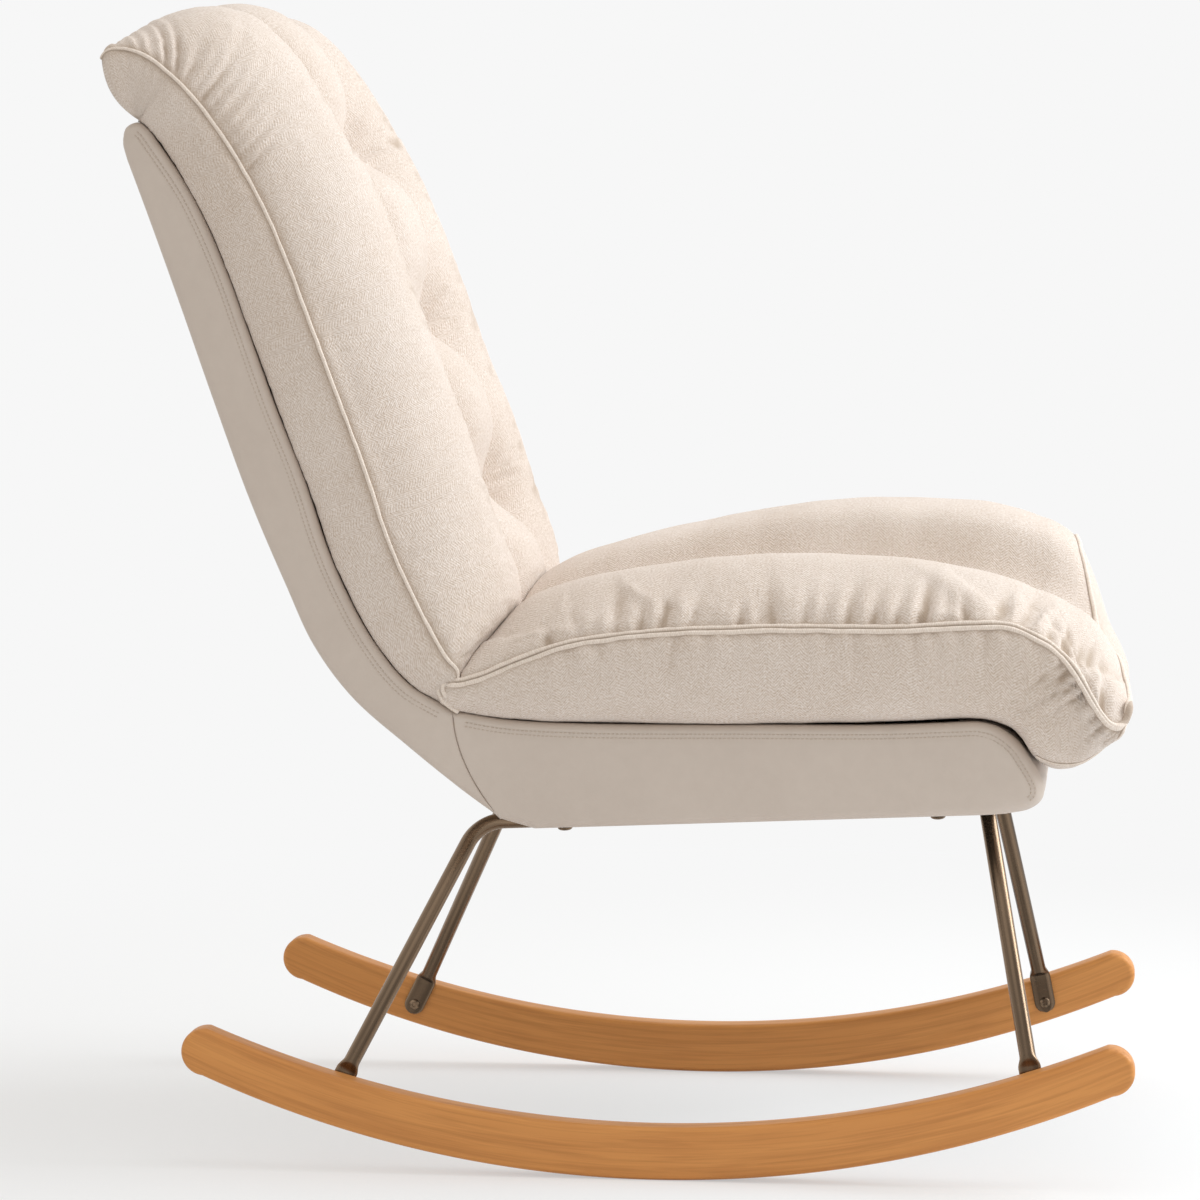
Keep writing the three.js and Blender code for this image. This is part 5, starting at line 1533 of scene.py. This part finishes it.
def back_cushion():
    """The back's smooth form with its tufts, gathers beside the cord at the top, and soft dents."""
    grid, tuft_rows = back_grid()
    bulges = ((0, -3 * MM, -6 * MM), (0, 7 * MM, -4 * MM))
    grid = swollen_ends(grid, bulges)
    signed, along = seam_places(grid)
    reach = along[-1, 0]
    dip, tuft_close, tuft_wide = tuft_fields(grid, tuft_rows)
    field = creased(signed, along, (
        (1, reach - 0.21, reach - 0.02, 12 * MM, 4.4 * MM, 58 * MM, 0.1, 0.45),
        (1, 0.0, 0.16, 26 * MM, 1.4 * MM, 40 * MM, 0.25, 0.0),
        (-1, 0.05, reach - 0.1, 42 * MM, 1.5 * MM, 35 * MM, 0.25, 0.0),
        (-1, reach - 0.07, reach, 10 * MM, 1.4 * MM, 30 * MM, 0.1, 0.0),
    ), (31, 32)) - dip
    field -= BACK_SEAM_PINCH * np.exp(-np.abs(signed) / BACK_PINCH_WIDTH)
    field += 1.2 * MM * soft_noise(signed.shape, 15, 11, 17) * smooth_step(np.abs(signed) / DENT_FADE)
    field += 0.4 * MM * soft_noise(signed.shape, 5, 4, 18)
    fade = end_fade(grid)
    folds = 0
    held = np.maximum(held_cloth(signed, fade), tuft_close)
    looseness = np.interp(along, [0, 0.15, 0.3, reach - 0.35, reach - 0.2], [0.8, 0.5, 0.3, 0.3, 1])
    slack = np.maximum(bell(signed, 50 * MM) * looseness, 0.8 * tuft_wide)
    folds = fade[..., None] * cloth_folds(grid, held, slack, 0.12, 9 * MM)
    field *= 0.75
    grid, lift = raised(grid, field * fade, folds)
    path, out = seam_path(grid, np.full(2 * HALF_COLUMNS + 1, float(len(grid) - 1)))
    over = np.linspace(-1, 1, len(path))
    out = out + np.array([0.0, 1.2, 0.9]) * bell(over, 0.22, 8)[:, None]
    piece = cushion_mesh("back_cushion_cover", grid, bulges, lift)
    placed(piece, "cushion_fabric", "back_cushion")
    welt("back_welt", path, out, [(0, 3.8 * MM), (1, 3.8 * MM)], [(0, 1.9 * MM), (1, 1.9 * MM)],
         [(0, 0), (1, 0)], 0.5 * MM)
    return piece


def blocker(loop, reach):
    """A closed block over a side outline, used to press a cushion clear and then removed."""
    rows = np.stack([side_points(loop, x) for x in np.linspace(-reach, reach, 3)])
    mesh = bpy.data.meshes.new("shell_block")
    count = len(loop)
    faces = [tuple(face) for face in grid_faces(3, count, True)]
    faces += [tuple(range(count)), tuple(range(2 * count, 3 * count))[::-1]]
    mesh.from_pydata(rows.reshape(-1, 3), [], faces)
    with edited(mesh) as work:
        bmesh.ops.triangulate(work, faces=work.faces)
        bmesh.ops.recalc_face_normals(work, faces=work.faces)
    return added("shell_block", mesh)


def pressed_clear(piece, target):
    """Moves what lies inside the target out to its surface and a gap beyond. The evaluated mesh
    takes the place of the piece's mesh, and its modifiers are dropped."""
    press = piece.modifiers.new("press", "SHRINKWRAP")
    press.target = target
    press.wrap_method = "NEAREST_SURFACEPOINT"
    press.wrap_mode = "OUTSIDE"
    press.offset = CUSHION_GAP
    graph = bpy.context.evaluated_depsgraph_get()
    mesh = bpy.data.meshes.new_from_object(piece.evaluated_get(graph))
    old = piece.data
    piece.modifiers.clear()
    piece.data = mesh
    bpy.data.meshes.remove(old)


def cushions():
    """Both cushions, pressed clear of the shell, and the seat pressed clear of the back."""
    seat = seat_cushion()
    back = back_cushion()
    block = blocker(SHELL_LOOP[:-1][::4], 0.4)
    for piece, target in ((seat, block), (back, block), (seat, back)):
        pressed_clear(piece, target)
    bpy.data.objects.remove(block)


cushions()


# CAD nodes that stay, with their finishes

FINISHES = {
    "seat_board": PLYWOOD, "front_rail": PLYWOOD, "lumbar_rail": PLYWOOD, "top_rail": PLYWOOD,
    "cheek": PLYWOOD, "back_panel": HARDBOARD, "web_": WEBBING, "dust_cover": LINING,
    "tee_nut": ZINC, "insert": ZINC,
}
for node_name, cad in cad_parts.items():
    for part, finish in FINISHES.items():
        if part in node_name:
            for slot in cad.material_slots:
                slot.material = finish


# Stage

def seen_share(tree):
    """1 for rays of the camera, of mirrors and of clear things, 0 for light that falls on things."""
    path = node(tree, "ShaderNodeLightPath")
    mirrored = calc(tree, "MAXIMUM", path.outputs["Is Glossy Ray"], path.outputs["Is Transmission Ray"])
    return calc(tree, "MAXIMUM", path.outputs["Is Camera Ray"], mirrored)


def mixed_output(tree, share, first, second, output):
    """Two shaders mixed by a share and led to the output's surface."""
    mix = node(tree, "ShaderNodeMixShader")
    for target, socket in zip(mix.inputs, (share, first.outputs[0], second.outputs[0])):
        tree.links.new(socket, target)
    tree.links.new(mix.outputs[0], tree.nodes[output].inputs["Surface"])


def backdrop_floor():
    """A wide floor. Near the chair it is a pale matt surface that takes the shadow; further off,
    for camera and mirror rays, it fades to the backdrop's white."""
    made, tree, shader = material("studio_floor", 0.9, Base_Color=(0.87, 0.885, 0.90, 1))
    glow = node(tree, "ShaderNodeEmission", Color=BACKDROP_WHITE, Strength=1.0)
    away = node(tree, "ShaderNodeVectorMath", operation="LENGTH")
    tree.links.new(node(tree, "ShaderNodeNewGeometry").outputs["Position"], away.inputs[0])
    far = spread(tree, away.outputs["Value"], 0.6, 1.9, "SMOOTHSTEP")
    share = calc(tree, "MULTIPLY", calc(tree, "MULTIPLY_ADD", far, 0.5, 0.5), seen_share(tree))
    mixed_output(tree, share, shader, glow, "Material Output")
    mesh = bpy.data.meshes.new("studio_floor")
    corners = [(x * FLOOR_REACH, y * FLOOR_REACH, 0) for x, y in ((-1, -1), (1, -1), (1, 1), (-1, 1))]
    mesh.from_pydata(corners, [], [(0, 1, 2, 3)])
    mesh.materials.append(made)
    added("studio_floor", mesh)


def studio_world():
    """Even soft light all round; white to the camera and to mirror rays."""
    world = bpy.data.worlds.new("studio")
    bpy.context.scene.world = world
    world.use_nodes = True
    tree = world.node_tree
    light = tree.nodes["Background"]
    light.inputs["Color"].default_value = (1.0, 0.95, 0.88, 1)
    light.inputs["Strength"].default_value = 0.71
    white = node(tree, "ShaderNodeBackground", Color=BACKDROP_WHITE, Strength=1.0)
    mixed_output(tree, seen_share(tree), light, white, "World Output")


def aimed(name, data, place, direction):
    """A lamp or camera at its place, looking along a direction."""
    made = added(name, data)
    made.location = place
    made.rotation_euler = Vector(direction).to_track_quat("-Z", "Y").to_euler()
    return made


def lamp(name, place, target, size, power):
    """A square soft lamp aimed at a point on the chair's middle line."""
    data = bpy.data.lights.new(name, "AREA")
    data.shape = "SQUARE"
    data.size = size
    data.energy = power
    data.color = (0.905, 0.955, 1.0)
    aimed(name, data, place, Vector(target) - Vector(place))


def camera():
    """The photograph's camera: a long lens, turned by its yaw and tipped down by its pitch."""
    data = bpy.data.cameras.new("photo_camera")
    data.lens = LENS
    data.sensor_width = 36.0
    data.clip_end = 60.0
    level = math.cos(CAMERA_PITCH)
    direction = level * math.cos(CAMERA_YAW), level * math.sin(CAMERA_YAW), -math.sin(CAMERA_PITCH)
    bpy.context.scene.camera = aimed("photo_camera", data, CAMERA_PLACE, direction)


backdrop_floor()
studio_world()
lamp("key_front", (0.5, -3.0, 2.3), (0, 0, 0.55), 2.0, 101.0)
lamp("top_soft", (-0.2, -0.5, 3.6), (0, 0, 0.4), 2.2, 22.0)
camera()
bpy.context.scene.view_settings.view_transform = "Standard"
